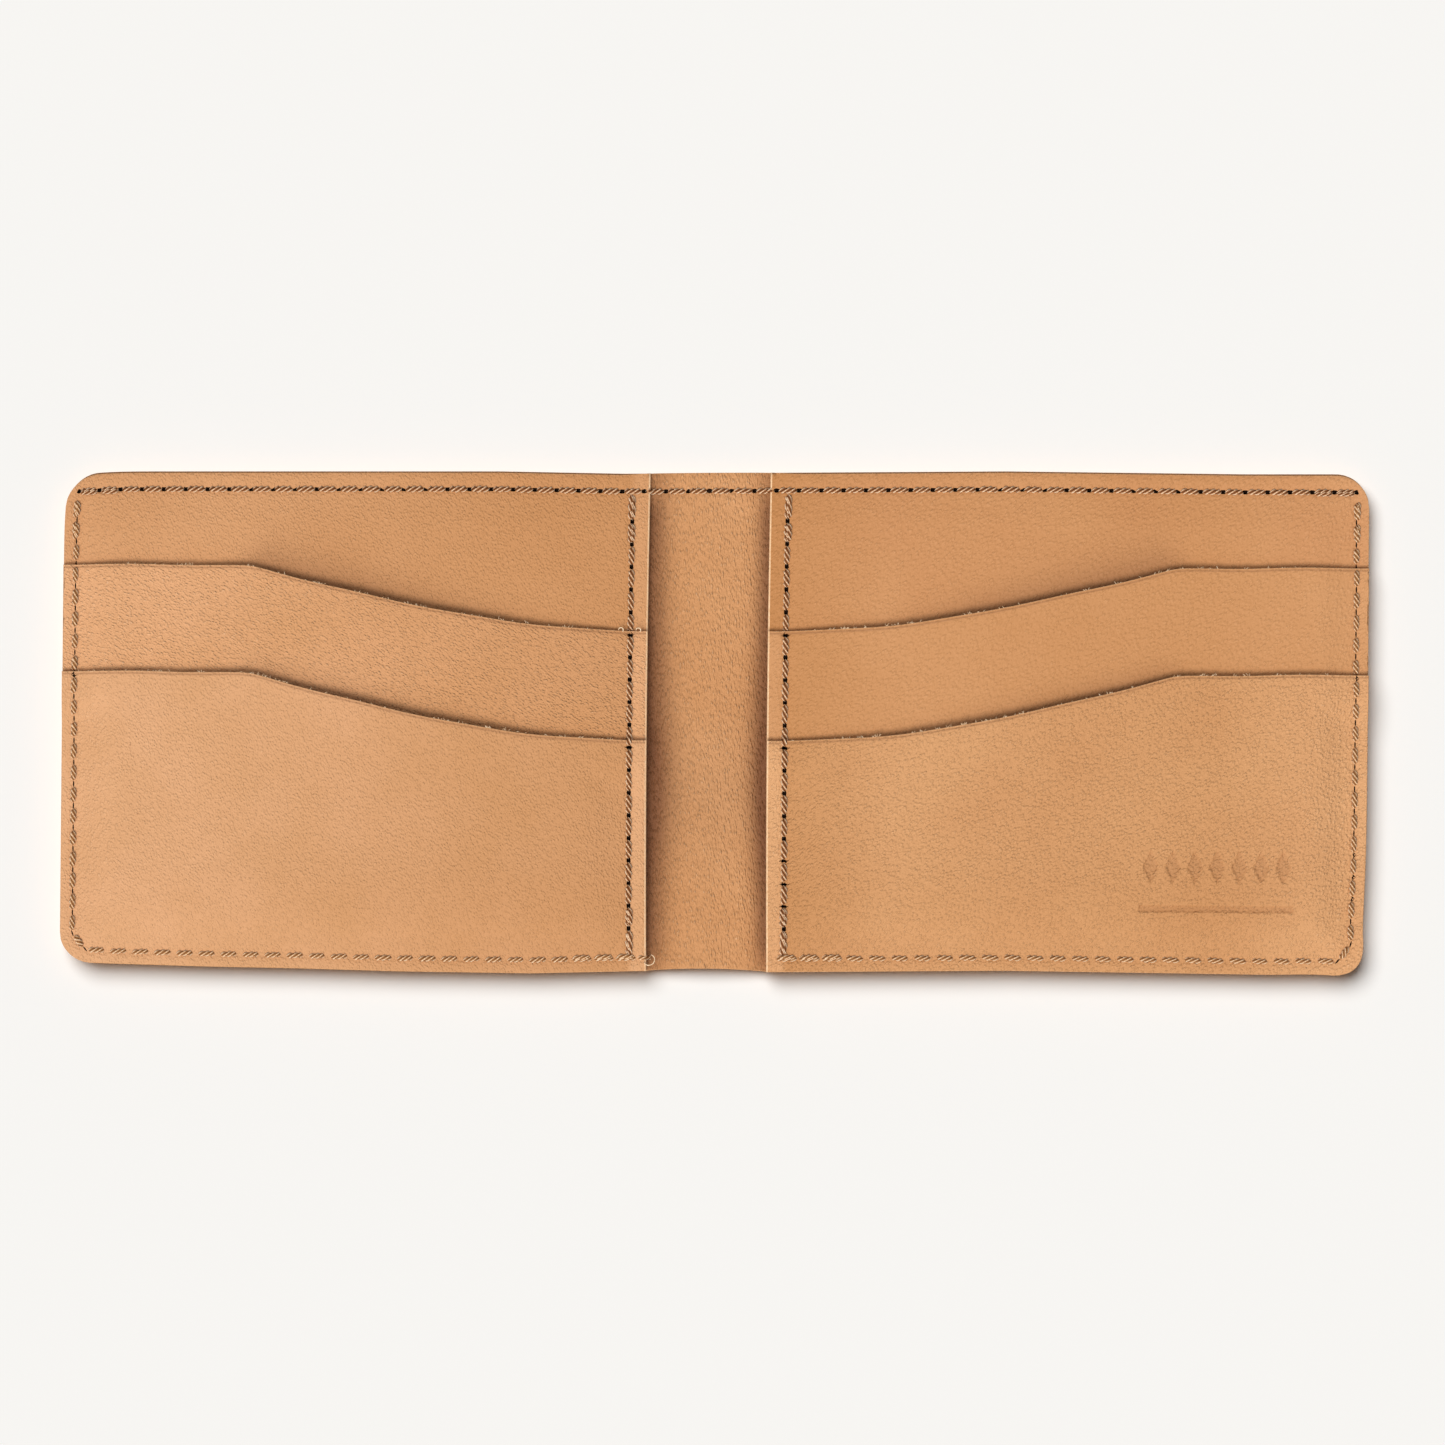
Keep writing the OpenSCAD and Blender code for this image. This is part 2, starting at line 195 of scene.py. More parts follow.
def inside_perimeter(x, y):
    """Distance inwards from the side seam, its corner and the bottom seam."""
    across = x - (SIDE_SEAM_X - SEAM_CORNER_R)
    down = (BOTTOM_SEAM_Y + SEAM_CORNER_R) - y
    beyond = np.hypot(np.maximum(across, 0), np.maximum(down, 0))
    return SEAM_CORNER_R - beyond - np.minimum(np.maximum(across, down), 0)


def held(distance, reach):
    """1 on a seam and outside it, falling to 0 at reach inwards from it."""
    return 1 - smooth(0, reach, distance)


def cover_top(x, y):
    return np.full_like(x, COVER_T)


def room(gap, sewn):
    """Room between two layers: the whole gap where they're loose, next to none where sewn is 1."""
    return SEWN_GAP + (gap - SEWN_GAP) * (1 - sewn)


def level_divider_top(x, y):
    return COVER_T + room(BILL_GAP, held(inside_perimeter(x, y), EDGE_REACH)) + DIVIDER_T


def divider_top(x, y):
    # At the spine the leather has taken a set: a low hump between two valleys
    hump = 0.45 * np.exp(-(x / 4.2) ** 2)
    valley = 0.42 * np.exp(-((x - PANEL_X + 1.4) / 1.9) ** 2)
    return level_divider_top(x, y) + hump - valley


def panel_top(x, y):
    sewn = np.maximum(held(inside_perimeter(x, y), EDGE_REACH), held(TOP_SEAM_Y - y, SEAM_REACH))
    return level_divider_top(x, y) + room(STASH_GAP, sewn) + PANEL_T


def pocket_room(x, y):
    """Room in a card pocket: none at the side, inner and bottom seams."""
    sewn = np.maximum(held(inside_perimeter(x, y), SEAM_REACH), held(x - INNER_SEAM_X, SEAM_REACH))
    return room(CARD_GAP, sewn)


def gape(x, y, level, drop):
    """How far a pocket's mouth stands open: most on its falling stretch, none at its seams."""
    below = np.maximum(mouth_y(x, level, drop) - y, 0)
    falling = smooth(INNER_SEAM_X, INNER_SEAM_X + 34, x) * (1 - smooth(KNEE_X - 22, KNEE_X + 16, x))
    outer = smooth(KNEE_X - 6, KNEE_X + 8, x) * (1 - smooth(SIDE_SEAM_X - 8, SIDE_SEAM_X, x))
    return (GAPE * (falling + OUTER_GAPE_SHARE * outer)
            * np.exp(-(below / GAPE_DEPTH) ** 1.4))


def middle_top(x, y):
    opened = gape(x, y, *MIDDLE_LINE)
    return panel_top(x, y) + pocket_room(x, y) + opened + MIDDLE_T


def front_top(x, y):
    # Below the tabs the front pocket comes down on the back panel at its seams
    to_seams = np.minimum(inside_perimeter(x, y), x - INNER_SEAM_X)
    body = smooth(0, 9, to_seams) * smooth(0, 15, y - BOTTOM_SEAM_Y)
    tab_y = np.where(x > KNEE_X, OUTER_TAB_Y, INNER_TAB_Y)
    tabs = smooth(-4, 3, y - tab_y)
    raised = np.maximum(body, tabs) * (MIDDLE_T + pocket_room(x, y))
    opened = gape(x, y, *FRONT_LINE)
    return panel_top(x, y) + raised + pocket_room(x, y) + opened + FRONT_T


def surface(x, y):
    """Top of the uppermost leather."""
    top = np.where(y < mouth_y(x, *MIDDLE_LINE), middle_top(x, y), panel_top(x, y))
    top = np.where(y < mouth_y(x, *FRONT_LINE), front_top(x, y), top)
    return np.where(x < PANEL_X, divider_top(x, y), top)


def lowered(height, by):
    """The height less a fixed thickness."""
    return lambda x, y: height(x, y) - by


# How far the top and bottom edges stray from straight, as x and offset
TOP_EDGE = [(-111, 0), (-36, 0), (-15, -0.4), (10, -0.25), (50, 0), (90, -0.5), (111, -0.5)]
BOTTOM_EDGE = [(-111, 2.1), (-87, 1.35), (-70, 1.0), (-53, 0.5), (-30, 0.15), (-11, 0.55),
               (11, 0.35), (50, 0.6), (95, -0.1), (111, 0.1)]
SPINE_ARCH = 0.45
SPINE_SHIFT = -1.5
SPINE_BOW = 0.3
LEAN = 0.78
RIGHT_SAG = 0.45

# Corners that are cut out of shape: where, how much, and over what distance
BLUNT_CORNER = (-HALF_W, HALF_H, 0.5, 6.5)
TUCKED_CORNER = (HALF_W, -HALF_H, 0.75, 15)
SHARP_CORNER = (HALF_W, -HALF_H, 0.8, 5)


def near_corner(x, y, corner_x, corner_y, amount, reach):
    return amount * np.exp(-((x - corner_x) ** 2 + (y - corner_y) ** 2) / reach ** 2)


def lay(x, y):
    """The wallet is hand cut and lies a little out of square. x is signed here."""
    up = (y + HALF_H) / (2 * HALF_H)
    top = np.interp(x, *zip(*TOP_EDGE))
    bottom = np.interp(x, *zip(*BOTTOM_EDGE))
    bottom = bottom + SPINE_ARCH * np.maximum(1 - (x / PANEL_X) ** 2, 0)
    shift = SPINE_SHIFT * (1 - np.abs(x) / HALF_W)
    shift = shift + SPINE_BOW * (2 * up - 1) ** 2 * (1 - np.abs(x) / HALF_W)
    sag = RIGHT_SAG * smooth(0, 40, x) * np.sin(math.pi * np.clip(up, 0, 1))
    blunt = near_corner(x, y, *BLUNT_CORNER)
    tucked = near_corner(x, y, *TUCKED_CORNER)
    sharp = near_corner(x, y, *SHARP_CORNER)
    return (x + LEAN * (up - 0.5) + shift + blunt - tucked + sharp,
            y + bottom * (1 - up) ** 3 + top * smooth(0.35, 1, up) - sag - blunt - sharp)


def laid(points, side):
    """Points of the right half, mirrored onto their own half and laid, still in millimetres."""
    laid_x, laid_y = lay(points[:, 0] * side, points[:, 1])
    return np.column_stack([laid_x, laid_y, points[:, 2]])


# ---------------- seams
# Stitch holes as points of the right half

def spread(start, end, count):
    start, end = np.array(start), np.array(end)
    return [tuple(start + (end - start) * i / count) for i in range(count + 1)]


SIDE_RUN = TOP_SEAM_Y - SEAM_GAP - (BOTTOM_SEAM_Y + SEAM_CORNER_R)
CORNER_RUN = math.pi / 2 * SEAM_CORNER_R
PERIMETER_RUN = SIDE_RUN + CORNER_RUN + SIDE_SEAM_X - SEAM_CORNER_R - PERIMETER_END_X


def perimeter_point(s):
    """The place s along the perimeter seam, which starts at the top of the side."""
    if s < SIDE_RUN:
        return SIDE_SEAM_X, TOP_SEAM_Y - SEAM_GAP - s
    if s < SIDE_RUN + CORNER_RUN:
        turn = (s - SIDE_RUN) / SEAM_CORNER_R
        return (SIDE_SEAM_X - SEAM_CORNER_R + SEAM_CORNER_R * math.cos(turn),
                BOTTOM_SEAM_Y + SEAM_CORNER_R - SEAM_CORNER_R * math.sin(turn))
    return SIDE_SEAM_X - SEAM_CORNER_R - (s - SIDE_RUN - CORNER_RUN), BOTTOM_SEAM_Y


TOP_HOLES = spread((0, TOP_SEAM_Y), (SIDE_SEAM_X, TOP_SEAM_Y), TOP_STITCHES)
INNER_HOLES = spread((INNER_SEAM_X, TOP_SEAM_Y - SEAM_GAP),
                     (INNER_SEAM_X, BOTTOM_SEAM_Y + SEAM_GAP), INNER_STITCHES)
STOP_HOLES = spread((PANEL_X + STOP_SEAM_INSET, STOP_SEAM_Y),
                    (HALF_W - STOP_SEAM_INSET, STOP_SEAM_Y), STOP_STITCHES)
PERIMETER_HOLES = [perimeter_point(PERIMETER_RUN * i / PERIMETER_STITCHES)
                   for i in range(PERIMETER_STITCHES + 1)]


# ---------------- materials

def colour(code):
    """Linear colour of an sRGB hex code."""
    channels = [int(code[i:i + 2], 16) / 255 for i in (1, 3, 5)]
    return (*[c / 12.92 if c <= 0.04045 else ((c + 0.055) / 1.055) ** 2.4 for c in channels], 1)


def per_mm(size):
    """Texture scale for a feature of this size in millimetres."""
    return 1 / (size * MM)


def add(tree, kind, inputs=None, **settings):
    """Adds a shader node with its settings. An input is a value, one of another node's outputs,
    or another node, which stands for its first output."""
    node = tree.nodes.new("ShaderNode" + kind)
    for name, value in settings.items():
        setattr(node, name, value)
    for key, value in (inputs or {}).items():
        if isinstance(value, bpy.types.Node):
            value = value.outputs[0]
        if isinstance(value, bpy.types.NodeSocket):
            tree.links.new(value, node.inputs[key])
        else:
            node.inputs[key].default_value = value
    return node


def new_material(name):
    material = bpy.data.materials.new(name)
    material.use_nodes = True
    material.node_tree.nodes.clear()
    return material, material.node_tree


def mix(tree, factor, a, b, blend_type="MIX"):
    return add(tree, "Mix", {0: factor, 6: a, 7: b},
               data_type="RGBA", blend_type=blend_type).outputs[2]


def grain_leather(piece, light, dark, grain_mm, stretch, angle, relief, painted_light_contrast):
    """Vegetable-tanned cowhide with its grain left natural: matte, warm, unevenly tanned,
    with a fine pebbled grain and a few pores. Its crowns carry a painted highlight and its
    hollows painted shade. Two attributes paint more shade: darker towards the spine, and darker
    where other leather stands over it and in the stamp, with a little wear and a few dark lines."""
    material, tree = new_material("vegetable-tanned " + piece)
    uv = add(tree, "UVMap", uv_map="hide")
    turned = add(tree, "Mapping", {
        "Vector": uv, "Rotation": (0, 0, math.radians(angle)), "Scale": (1, stretch, 1)},
        vector_type="TEXTURE")

    patches = add(tree, "TexNoise", {
        "Vector": uv, "Scale": per_mm(26), "Detail": 3.0, "Roughness": 0.55})
    patches = add(tree, "MapRange", {"Value": patches, "From Min": 0.34, "From Max": 0.66})
    base = mix(tree, patches, colour(dark), colour(light))

    bent = add(tree, "TexNoise", {
        "Vector": turned, "Scale": per_mm(grain_mm * 2.5), "Detail": 1.0}).outputs["Color"]
    turned = mix(tree, grain_mm * MM * 0.25, turned, bent, "LINEAR_LIGHT")
    pebbles = add(tree, "TexVoronoi", {
        "Vector": turned, "Scale": per_mm(grain_mm), "Smoothness": 0.5},
        feature="SMOOTH_F1").outputs["Distance"]
    fibres = add(tree, "TexNoise", {
        "Vector": turned, "Scale": per_mm(grain_mm * 0.5), "Detail": 2.0,
        "Roughness": 0.6})
    bulge = add(tree, "MapRange", {
        "Value": pebbles, "From Min": -0.1, "From Max": 0.6, "To Min": 1.0, "To Max": 0.0})
    grain = add(tree, "Mix", {0: 0.4, 2: bulge, 3: fibres}, data_type="FLOAT")
    # Painted shade in the hollows of the grain
    hollow_shade = add(tree, "MapRange", {
        "Value": grain, "From Min": 0.2, "From Max": 0.55,
        "To Min": painted_light_contrast * 0.38, "To Max": 0.0})
    base = mix(tree, hollow_shade, base, colour("#a5724a"))
    # Painted highlight: a pale sheen on the crowns of the grain
    crown_highlight = add(tree, "MapRange", {
        "Value": grain, "From Min": 0.48, "From Max": 0.74, "To Min": 0.0, "To Max": painted_light_contrast})
    base = mix(tree, crown_highlight, base, colour("#f7d5b2"))

    pores = add(tree, "TexVoronoi", {
        "Vector": uv, "Scale": per_mm(5.5), "Randomness": 1.0}).outputs["Distance"]
    pores = add(tree, "MapRange", {
        "Value": pores, "From Min": 0.02, "From Max": 0.05, "To Min": 0.45, "To Max": 0.0})
    base = mix(tree, pores, base, colour("#7a4a2c"))

    # Painted shade, darker towards the spine
    tanned = add(tree, "Attribute", attribute_name="painted_shading").outputs["Fac"]
    base = mix(tree, tanned, base, colour("#b67b45"))
    # Painted shade where other leather stands over this one and in the stamp, with a little wear
    # and a few dark lines
    rubbed = add(tree, "Attribute", attribute_name="painted_shade_and_marks").outputs["Fac"]
    base = mix(tree, rubbed, base, colour("#7d4f30"))

    rough = add(tree, "MapRange", {"Value": fibres, "To Min": 0.5, "To Max": 0.72})
    bump = add(tree, "Bump", {"Strength": 1.0, "Distance": relief * MM, "Height": grain})
    shader = add(tree, "BsdfPrincipled", {
        "Base Color": base, "Roughness": rough, "IOR": 1.45, "Specular IOR Level": 0.35,
        "Normal": bump})
    add(tree, "OutputMaterial", {"Surface": shader})
    return material


def cut_edge(name, light, dark):
    """The cut edge of the hide: split fibres, matte, lighter or browner than the grain side.
    Real fibres are about 0.1 mm, and are drawn coarser, at 0.5 mm, so that they show."""
    material, tree = new_material(name)
    place = add(tree, "TexCoord").outputs["Object"]
    long_fibres = add(tree, "Mapping", {"Vector": place, "Scale": (1, 1, 2.5)})
    fibres = add(tree, "TexNoise", {
        "Vector": long_fibres, "Scale": per_mm(0.5), "Detail": 3.0, "Roughness": 0.65})
    spots = add(tree, "MapRange", {"Value": fibres, "From Min": 0.3, "From Max": 0.7})
    base = mix(tree, spots, colour(dark), colour(light))
    bump = add(tree, "Bump", {"Strength": 0.8, "Distance": 0.08 * MM, "Height": fibres})
    shader = add(tree, "BsdfPrincipled", {
        "Base Color": base, "Roughness": 0.85, "Specular IOR Level": 0.2, "Normal": bump})
    add(tree, "OutputMaterial", {"Surface": shader})
    return material


def painted_hole_shade():
    """Inside of a stitch hole, painted near black for the shade in the narrow pit."""
    material, tree = new_material("stitch holes painted dark")
    place = add(tree, "TexCoord").outputs["Object"]
    fibres = add(tree, "TexNoise", {"Vector": place, "Scale": per_mm(0.3), "Detail": 2.0})
    base = mix(tree, fibres, colour("#0d0705"), colour("#2b170c"))
    shader = add(tree, "BsdfPrincipled", {
        "Base Color": base, "Roughness": 0.95, "Specular IOR Level": 0.1})
    add(tree, "OutputMaterial", {"Surface": shader})
    return material


def waxed_thread(name, dark, light, between, depth):
    """Waxed three-ply polyester thread: mid brown, with a painted cream highlight, broken up by
    fibres, on the crown of each ply, and painted shade in the colour between, by depth, along
    the grooves where the plies meet."""
    material, tree = new_material(name)
    uv = add(tree, "UVMap", uv_map="ply")
    parts = add(tree, "SeparateXYZ", {0: uv})
    turns = add(tree, "Math", {0: parts.outputs[1], 1: PLIES * 2 * math.pi},
                operation="MULTIPLY")
    crown = add(tree, "Math", {0: turns}, operation="COSINE")
    crown = add(tree, "MapRange", {"Value": crown, "From Min": -1.0, "From Max": 1.0})
    # The ply map runs once along a 3.8 mm stitch and once round it, so this noise is fibres
    # 0.7 mm long and 0.1 mm wide
    stretched = add(tree, "Mapping", {"Vector": uv, "Scale": (2.2, 16, 1)})
    fibres = add(tree, "TexNoise", {
        "Vector": stretched, "Scale": 2.4, "Detail": 3.0, "Roughness": 0.65})
    body = mix(tree, fibres, colour(dark), colour(light))
    # Painted highlight: cream on the crown of each ply
    lit = add(tree, "Math", {0: crown, 1: fibres}, operation="MULTIPLY")
    lit = add(tree, "MapRange", {"Value": lit, "From Min": 0.3, "From Max": 0.52})
    body = mix(tree, lit, body, colour("#ffe6c6"))
    # Painted shade along the grooves where the plies meet
    seam = add(tree, "MapRange", {
        "Value": crown, "From Min": 0.02, "From Max": 0.34, "To Min": depth, "To Max": 0.0})
    body = mix(tree, seam, body, colour(between))
    height = add(tree, "Mix", {0: 0.35, 2: crown, 3: fibres}, data_type="FLOAT")
    bump = add(tree, "Bump", {"Strength": 0.6, "Distance": 0.08 * MM, "Height": height})
    shader = add(tree, "BsdfPrincipled", {
        "Base Color": body, "Roughness": 0.75, "Specular IOR Level": 0.15, "Normal": bump})
    add(tree, "OutputMaterial", {"Surface": shader})
    return material


# The grain of real hide is about 0.2 mm. It's drawn at 0.4 mm, so that it shows
# The last figure of each is how strong the painted highlight and shade of its grain are
FINE_GRAIN = dict(grain_mm=0.38, stretch=1.4, angle=20, relief=0.32, painted_light_contrast=0.26)
SMOOTH_GRAIN = dict(grain_mm=0.4, stretch=1.8, angle=-40, relief=0.26, painted_light_contrast=0.18)
PEBBLED_GRAIN = dict(grain_mm=0.38, stretch=1.6, angle=60, relief=0.5, painted_light_contrast=0.5)
SOFT_GRAIN = dict(grain_mm=0.38, stretch=1.6, angle=-40, relief=0.42, painted_light_contrast=0.38)
CREASED_GRAIN = dict(grain_mm=0.36, stretch=2.6, angle=4, relief=0.55, painted_light_contrast=0.42)

COVER_HIDE = grain_leather("cover leather", "#d29c6e", "#c38c5c", **SOFT_GRAIN)
DIVIDER_HIDE = grain_leather("divider leather", "#d79c69", "#cc905d", **CREASED_GRAIN)
PANEL_HIDE = {
    LEFT: grain_leather("panel leather, left", "#d39b6c", "#cc9363", **FINE_GRAIN),
    RIGHT: grain_leather("panel leather, right", "#ce9565", "#c88d5e", **SMOOTH_GRAIN),
}
MIDDLE_HIDE = {
    LEFT: grain_leather("pocket leather, upper left", "#e8ae7f", "#dea473", **PEBBLED_GRAIN),
    RIGHT: grain_leather("pocket leather, upper right", "#cf9767", "#c88f5e", **SMOOTH_GRAIN),
}
FRONT_HIDE = {
    LEFT: grain_leather("pocket leather, lower left", "#dfa97d", "#d49e6f", **FINE_GRAIN),
    RIGHT: grain_leather("pocket leather, lower right", "#e2ab79", "#d9a06f", **SOFT_GRAIN),
}
OUTER_EDGE = cut_edge("cut leather edge", "#d8a678", "#b07c50")
SPINE_EDGE = cut_edge("raw leather edge", "#f6d3ac", "#dcab7d")
MOUTH_EDGE = cut_edge("rubbed leather edge", "#e4b78a", "#a87850")
HOLE_SHADE = painted_hole_shade()

# Materials of a sheet, after its hide: the cut, raw and mouth edges and the stitch holes, which are
# painted dark for their shade
SHELL_EDGES = [OUTER_EDGE, OUTER_EDGE, OUTER_EDGE, HOLE_SHADE]
POCKET_EDGES = [OUTER_EDGE, SPINE_EDGE, MOUTH_EDGE, HOLE_SHADE]

THREAD = waxed_thread("waxed three-ply thread", "#87502a", "#c08450", "#4a2410", 0.95)
HANDLED_THREAD = waxed_thread("handled three-ply thread", "#9e6737", "#cf9a64", "#5a3018", 0.85)
SPLIT_FIBRE = cut_edge("split leather fibre", "#ffe9cb", "#e2b98a")


# ---------------- leather pieces

# Material slots of a sheet. Slot 0 is its hide
CUT, RAW, MOUTH, PIERCED = range(1, 5)
EDGE_BEVEL = {RAW: 0.28, MOUTH: 0.2, CUT: 0.2}

# Stitch holes as half length, half width and depth: open ones, ones that nearly closed, and
# ones on the outside of the cover, whose pits go upwards
SEAM_HOLE = (0.56, 0.4, 0.8)
EDGE_HOLE = (0.55, 0.13, 0.6)
OUTSIDE_HOLE = (0.34, 0.26, -0.6)

HOLE_SNAP = 1.2
PIT_TAPER = 0.8

# How dark the painted shade, with some wear, is on the divider beside each panel, and how far out
SPINE_SHADE_AND_WEAR = {LEFT: (0.9, 3.3), RIGHT: (0.9, 2.05)}

# How much painted shade the leather has at each distance from the spine
SHADE_TOWARDS_SPINE = {
    LEFT: ((PANEL_X, 14, 40, 75, HALF_W), (0.6, 0.55, 0.45, 0.2, 0.0)),
    RIGHT: ((PANEL_X, 14, 30, 60, 85, HALF_W), (0.9, 0.65, 0.35, 0.45, 0.5, 0.1)),
}


def mesh_of(name, bm):
    mesh = bpy.data.meshes.new(name)
    bm.to_mesh(mesh)
    bm.free()
    return mesh


def link(name, mesh, materials):
    obj = bpy.data.objects.new(name, mesh)
    bpy.context.scene.collection.objects.link(obj)
    for material in materials:
        mesh.materials.append(material)
    return obj


def lines(low, high, step, fine=(), must=()):
    """Grid lines from low to high: about a step apart, closer within the (centre, reach, step)
    stretches in fine, with one on every value in must."""
    ends = [centre + sign * reach for centre, reach, _ in fine for sign in (-1, 1)]
    stops = sorted({low, high, *[v for v in (*must, *ends) if low + 0.1 < v < high - 0.1]})
    found = [low]
    for start, end in zip(stops, stops[1:]):
        middle = (start + end) / 2
        here = min([s for centre, reach, s in fine if abs(middle - centre) < reach] + [step])
        count = max(1, round((end - start) / here))
        found += [start + (end - start) * i / count for i in range(1, count + 1)]
    return found


def corner_cut(x):
    """How far the rounded outer corners cut into the height at x."""
    over = np.clip(x - (HALF_W - CORNER_R), 0, CORNER_R)
    return CORNER_R - np.sqrt(np.maximum(CORNER_R ** 2 - over ** 2, 0))


def grid_sheet(columns, rows, to_y, keep=None):
    """A flat sheet at height 0, its lines at columns and rows, with to_y(x, row) placing a row.
    keep(x, y) says which faces stay."""
    bm = bmesh.new()
    nx, ny = len(columns) - 1, len(rows) - 1
    bmesh.ops.create_grid(bm, x_segments=nx, y_segments=ny, size=1)
    column = np.array([columns[round((v.co.x + 1) / 2 * nx)] for v in bm.verts])
    row = np.array([rows[round((v.co.y + 1) / 2 * ny)] for v in bm.verts])
    y = to_y(column, row)
    for vert, a, b in zip(bm.verts, column, y):
        vert.co = (a, b, 0)
    if keep:
        gone = [f for f in bm.faces if not keep(*f.calc_center_median().xy)]
        bmesh.ops.delete(bm, geom=gone, context="FACES")
    return bm


def snap_to_holes(bm, holes, z):
    """Moves the nearest vertex at height z onto each stitch hole, and returns those vertices."""
    level = [v for v in bm.verts if abs(v.co.z - z) < 1e-4]
    tree = KDTree(len(level))
    for i, v in enumerate(level):
        tree.insert((v.co.x, v.co.y, 0), i)
    tree.balance()
    found = []
    for x, y in holes:
        vert = level[tree.find((x, y, 0))[1]]
        if (vert.co.xy - Vector((x, y))).length < HOLE_SNAP:
            vert.co.x, vert.co.y = x, y
            found.append(vert)
    return found


def pierce(bm, holes, z, along, across, depth):
    """Sinks an eight-sided pit into the sheet at each stitch hole, from height z."""
    verts = snap_to_holes(bm, holes, z)
    if not verts:
        return
    run = {i: hole_run(holes, i) for i in range(len(holes))}
    made = bmesh.ops.bevel(bm, geom=verts, offset=across, offset_type="OFFSET", segments=1,
                           profile=0.5, affect="VERTICES", clamp_overlap=True, material=-1)
    pits = [f for f in made["faces"] if f.is_valid]
    rims = list(dict.fromkeys(e for f in pits for e in f.edges))
    bmesh.ops.subdivide_edges(bm, edges=rims, cuts=1)
    points = np.array(holes)
    for face in pits:
        middle = face.calc_center_median()
        nearest = int(np.argmin(np.hypot(points[:, 0] - middle.x, points[:, 1] - middle.y)))
        centre = Vector((*holes[nearest], z))
        ahead = run[nearest]
        side = Vector((-ahead.y, ahead.x, 0))
        for vert in face.verts:
            out = (vert.co - centre).normalized()
            vert.co = centre + ahead * out.dot(ahead) * along + side * out.dot(side) * across
        for edge in face.edges:
            edge.smooth = False
    for face in bmesh.ops.extrude_discrete_faces(bm, faces=pits)["faces"]:
        middle = face.calc_center_median()
        face.material_index = PIERCED
        for vert in face.verts:
            vert.co = middle + (vert.co - middle) * PIT_TAPER - Vector((0, 0, depth))
            for wall in vert.link_faces:
                wall.material_index = PIERCED


def hole_run(holes, i):
    """Direction of the seam at its hole i."""
    before, after = holes[max(i - 1, 0)], holes[min(i + 1, len(holes) - 1)]
    return Vector((after[0] - before[0], after[1] - before[1], 0)).normalized()


def thicken(bm, thickness, open_edge=None):
    """Gives the flat sheet its thickness below height 0, and rounds its cut edges.
    open_edge is an x where the piece only meets its other half, and stays square."""

    def meets_other_half(edge):
        return open_edge is not None and all(abs(v.co.x - open_edge) < 1e-4 for v in edge.verts)

    bmesh.ops.recalc_face_normals(bm, faces=bm.faces)
    if bm.faces[0].normal.z > 0:
        bmesh.ops.reverse_faces(bm, faces=bm.faces)
    made = bmesh.ops.extrude_face_region(bm, geom=bm.faces[:], use_keep_orig=True)
    top = {v for v in made["geom"] if isinstance(v, bmesh.types.BMVert)}
    for vert in bm.verts:
        if vert not in top:
            vert.co.z = -thickness
    bmesh.ops.recalc_face_normals(bm, faces=bm.faces)
    bm.normal_update()
    for face in bm.faces:
        if abs(face.normal.z) < 0.5:
            middle = face.calc_center_median()
            face.material_index = CUT
            if face.normal.x < -0.7 and middle.x < PANEL_X + 0.5:
                face.material_index = RAW
            elif face.normal.y > 0.5 and middle.y < MIDDLE_MOUTH + 2:
                face.material_index = MOUTH
    rims = []
    for edge in bm.edges:
        if len(edge.link_faces) == 2:
            flats = [f for f in edge.link_faces if abs(f.normal.z) > 0.5]
            sides = [f for f in edge.link_faces if abs(f.normal.z) <= 0.5]
            if flats and sides:
                if meets_other_half(edge):
                    edge.smooth = False
                else:
                    rims.append((edge, sides[0].material_index))
    for index in (RAW, MOUTH, CUT):
        chosen = [e for e, i in rims if i == index and e.is_valid]
        if chosen:
            bmesh.ops.bevel(bm, geom=chosen, offset=EDGE_BEVEL[index], offset_type="OFFSET",
                            segments=2, profile=0.5, affect="EDGES", clamp_overlap=True,
                            material=index)


def finish_sheet(node, bm, side, thickness, top, bottom, materials, painted_shade_and_marks=None, shading=None):
    """Bends the flat sheet to its top and bottom heights, lays it, and makes the piece."""
    bm.verts.ensure_lookup_table()
    for face in bm.faces:
        face.smooth = True
    name = node + "_" + SIDE_NAMES[side]
    mesh = mesh_of(name, bm)
    count = len(mesh.vertices)
    flat = np.empty(count * 3)
    mesh.vertices.foreach_get("co", flat)
    flat = flat.reshape(-1, 3)
    x, y = flat[:, 0], flat[:, 1]
    depth = -flat[:, 2] / thickness
    z = top(x, y) * (1 - depth) + bottom(x, y) * depth
    mesh.vertices.foreach_set("co", (laid(np.column_stack([x, y, z]), side) * MM).ravel())
    hide = mesh.uv_layers.new(name="hide")
    index = np.empty(len(mesh.loops), int)
    mesh.loops.foreach_get("vertex_index", index)
    hide.data.foreach_set("uv", (np.column_stack([x * side, y]) * MM)[index].ravel())
    for attribute, amount in (("painted_shade_and_marks", painted_shade_and_marks), ("painted_shading", shading)):
        layer = mesh.attributes.new(attribute, "FLOAT", "POINT")
        values = np.clip(amount(x, y), 0, 1) if amount else np.zeros(count)
        layer.data.foreach_set("value", values.astype(np.float32))
    if side == LEFT:
        mesh.flip_normals()
    mesh.update()
    return link(name, mesh, materials)


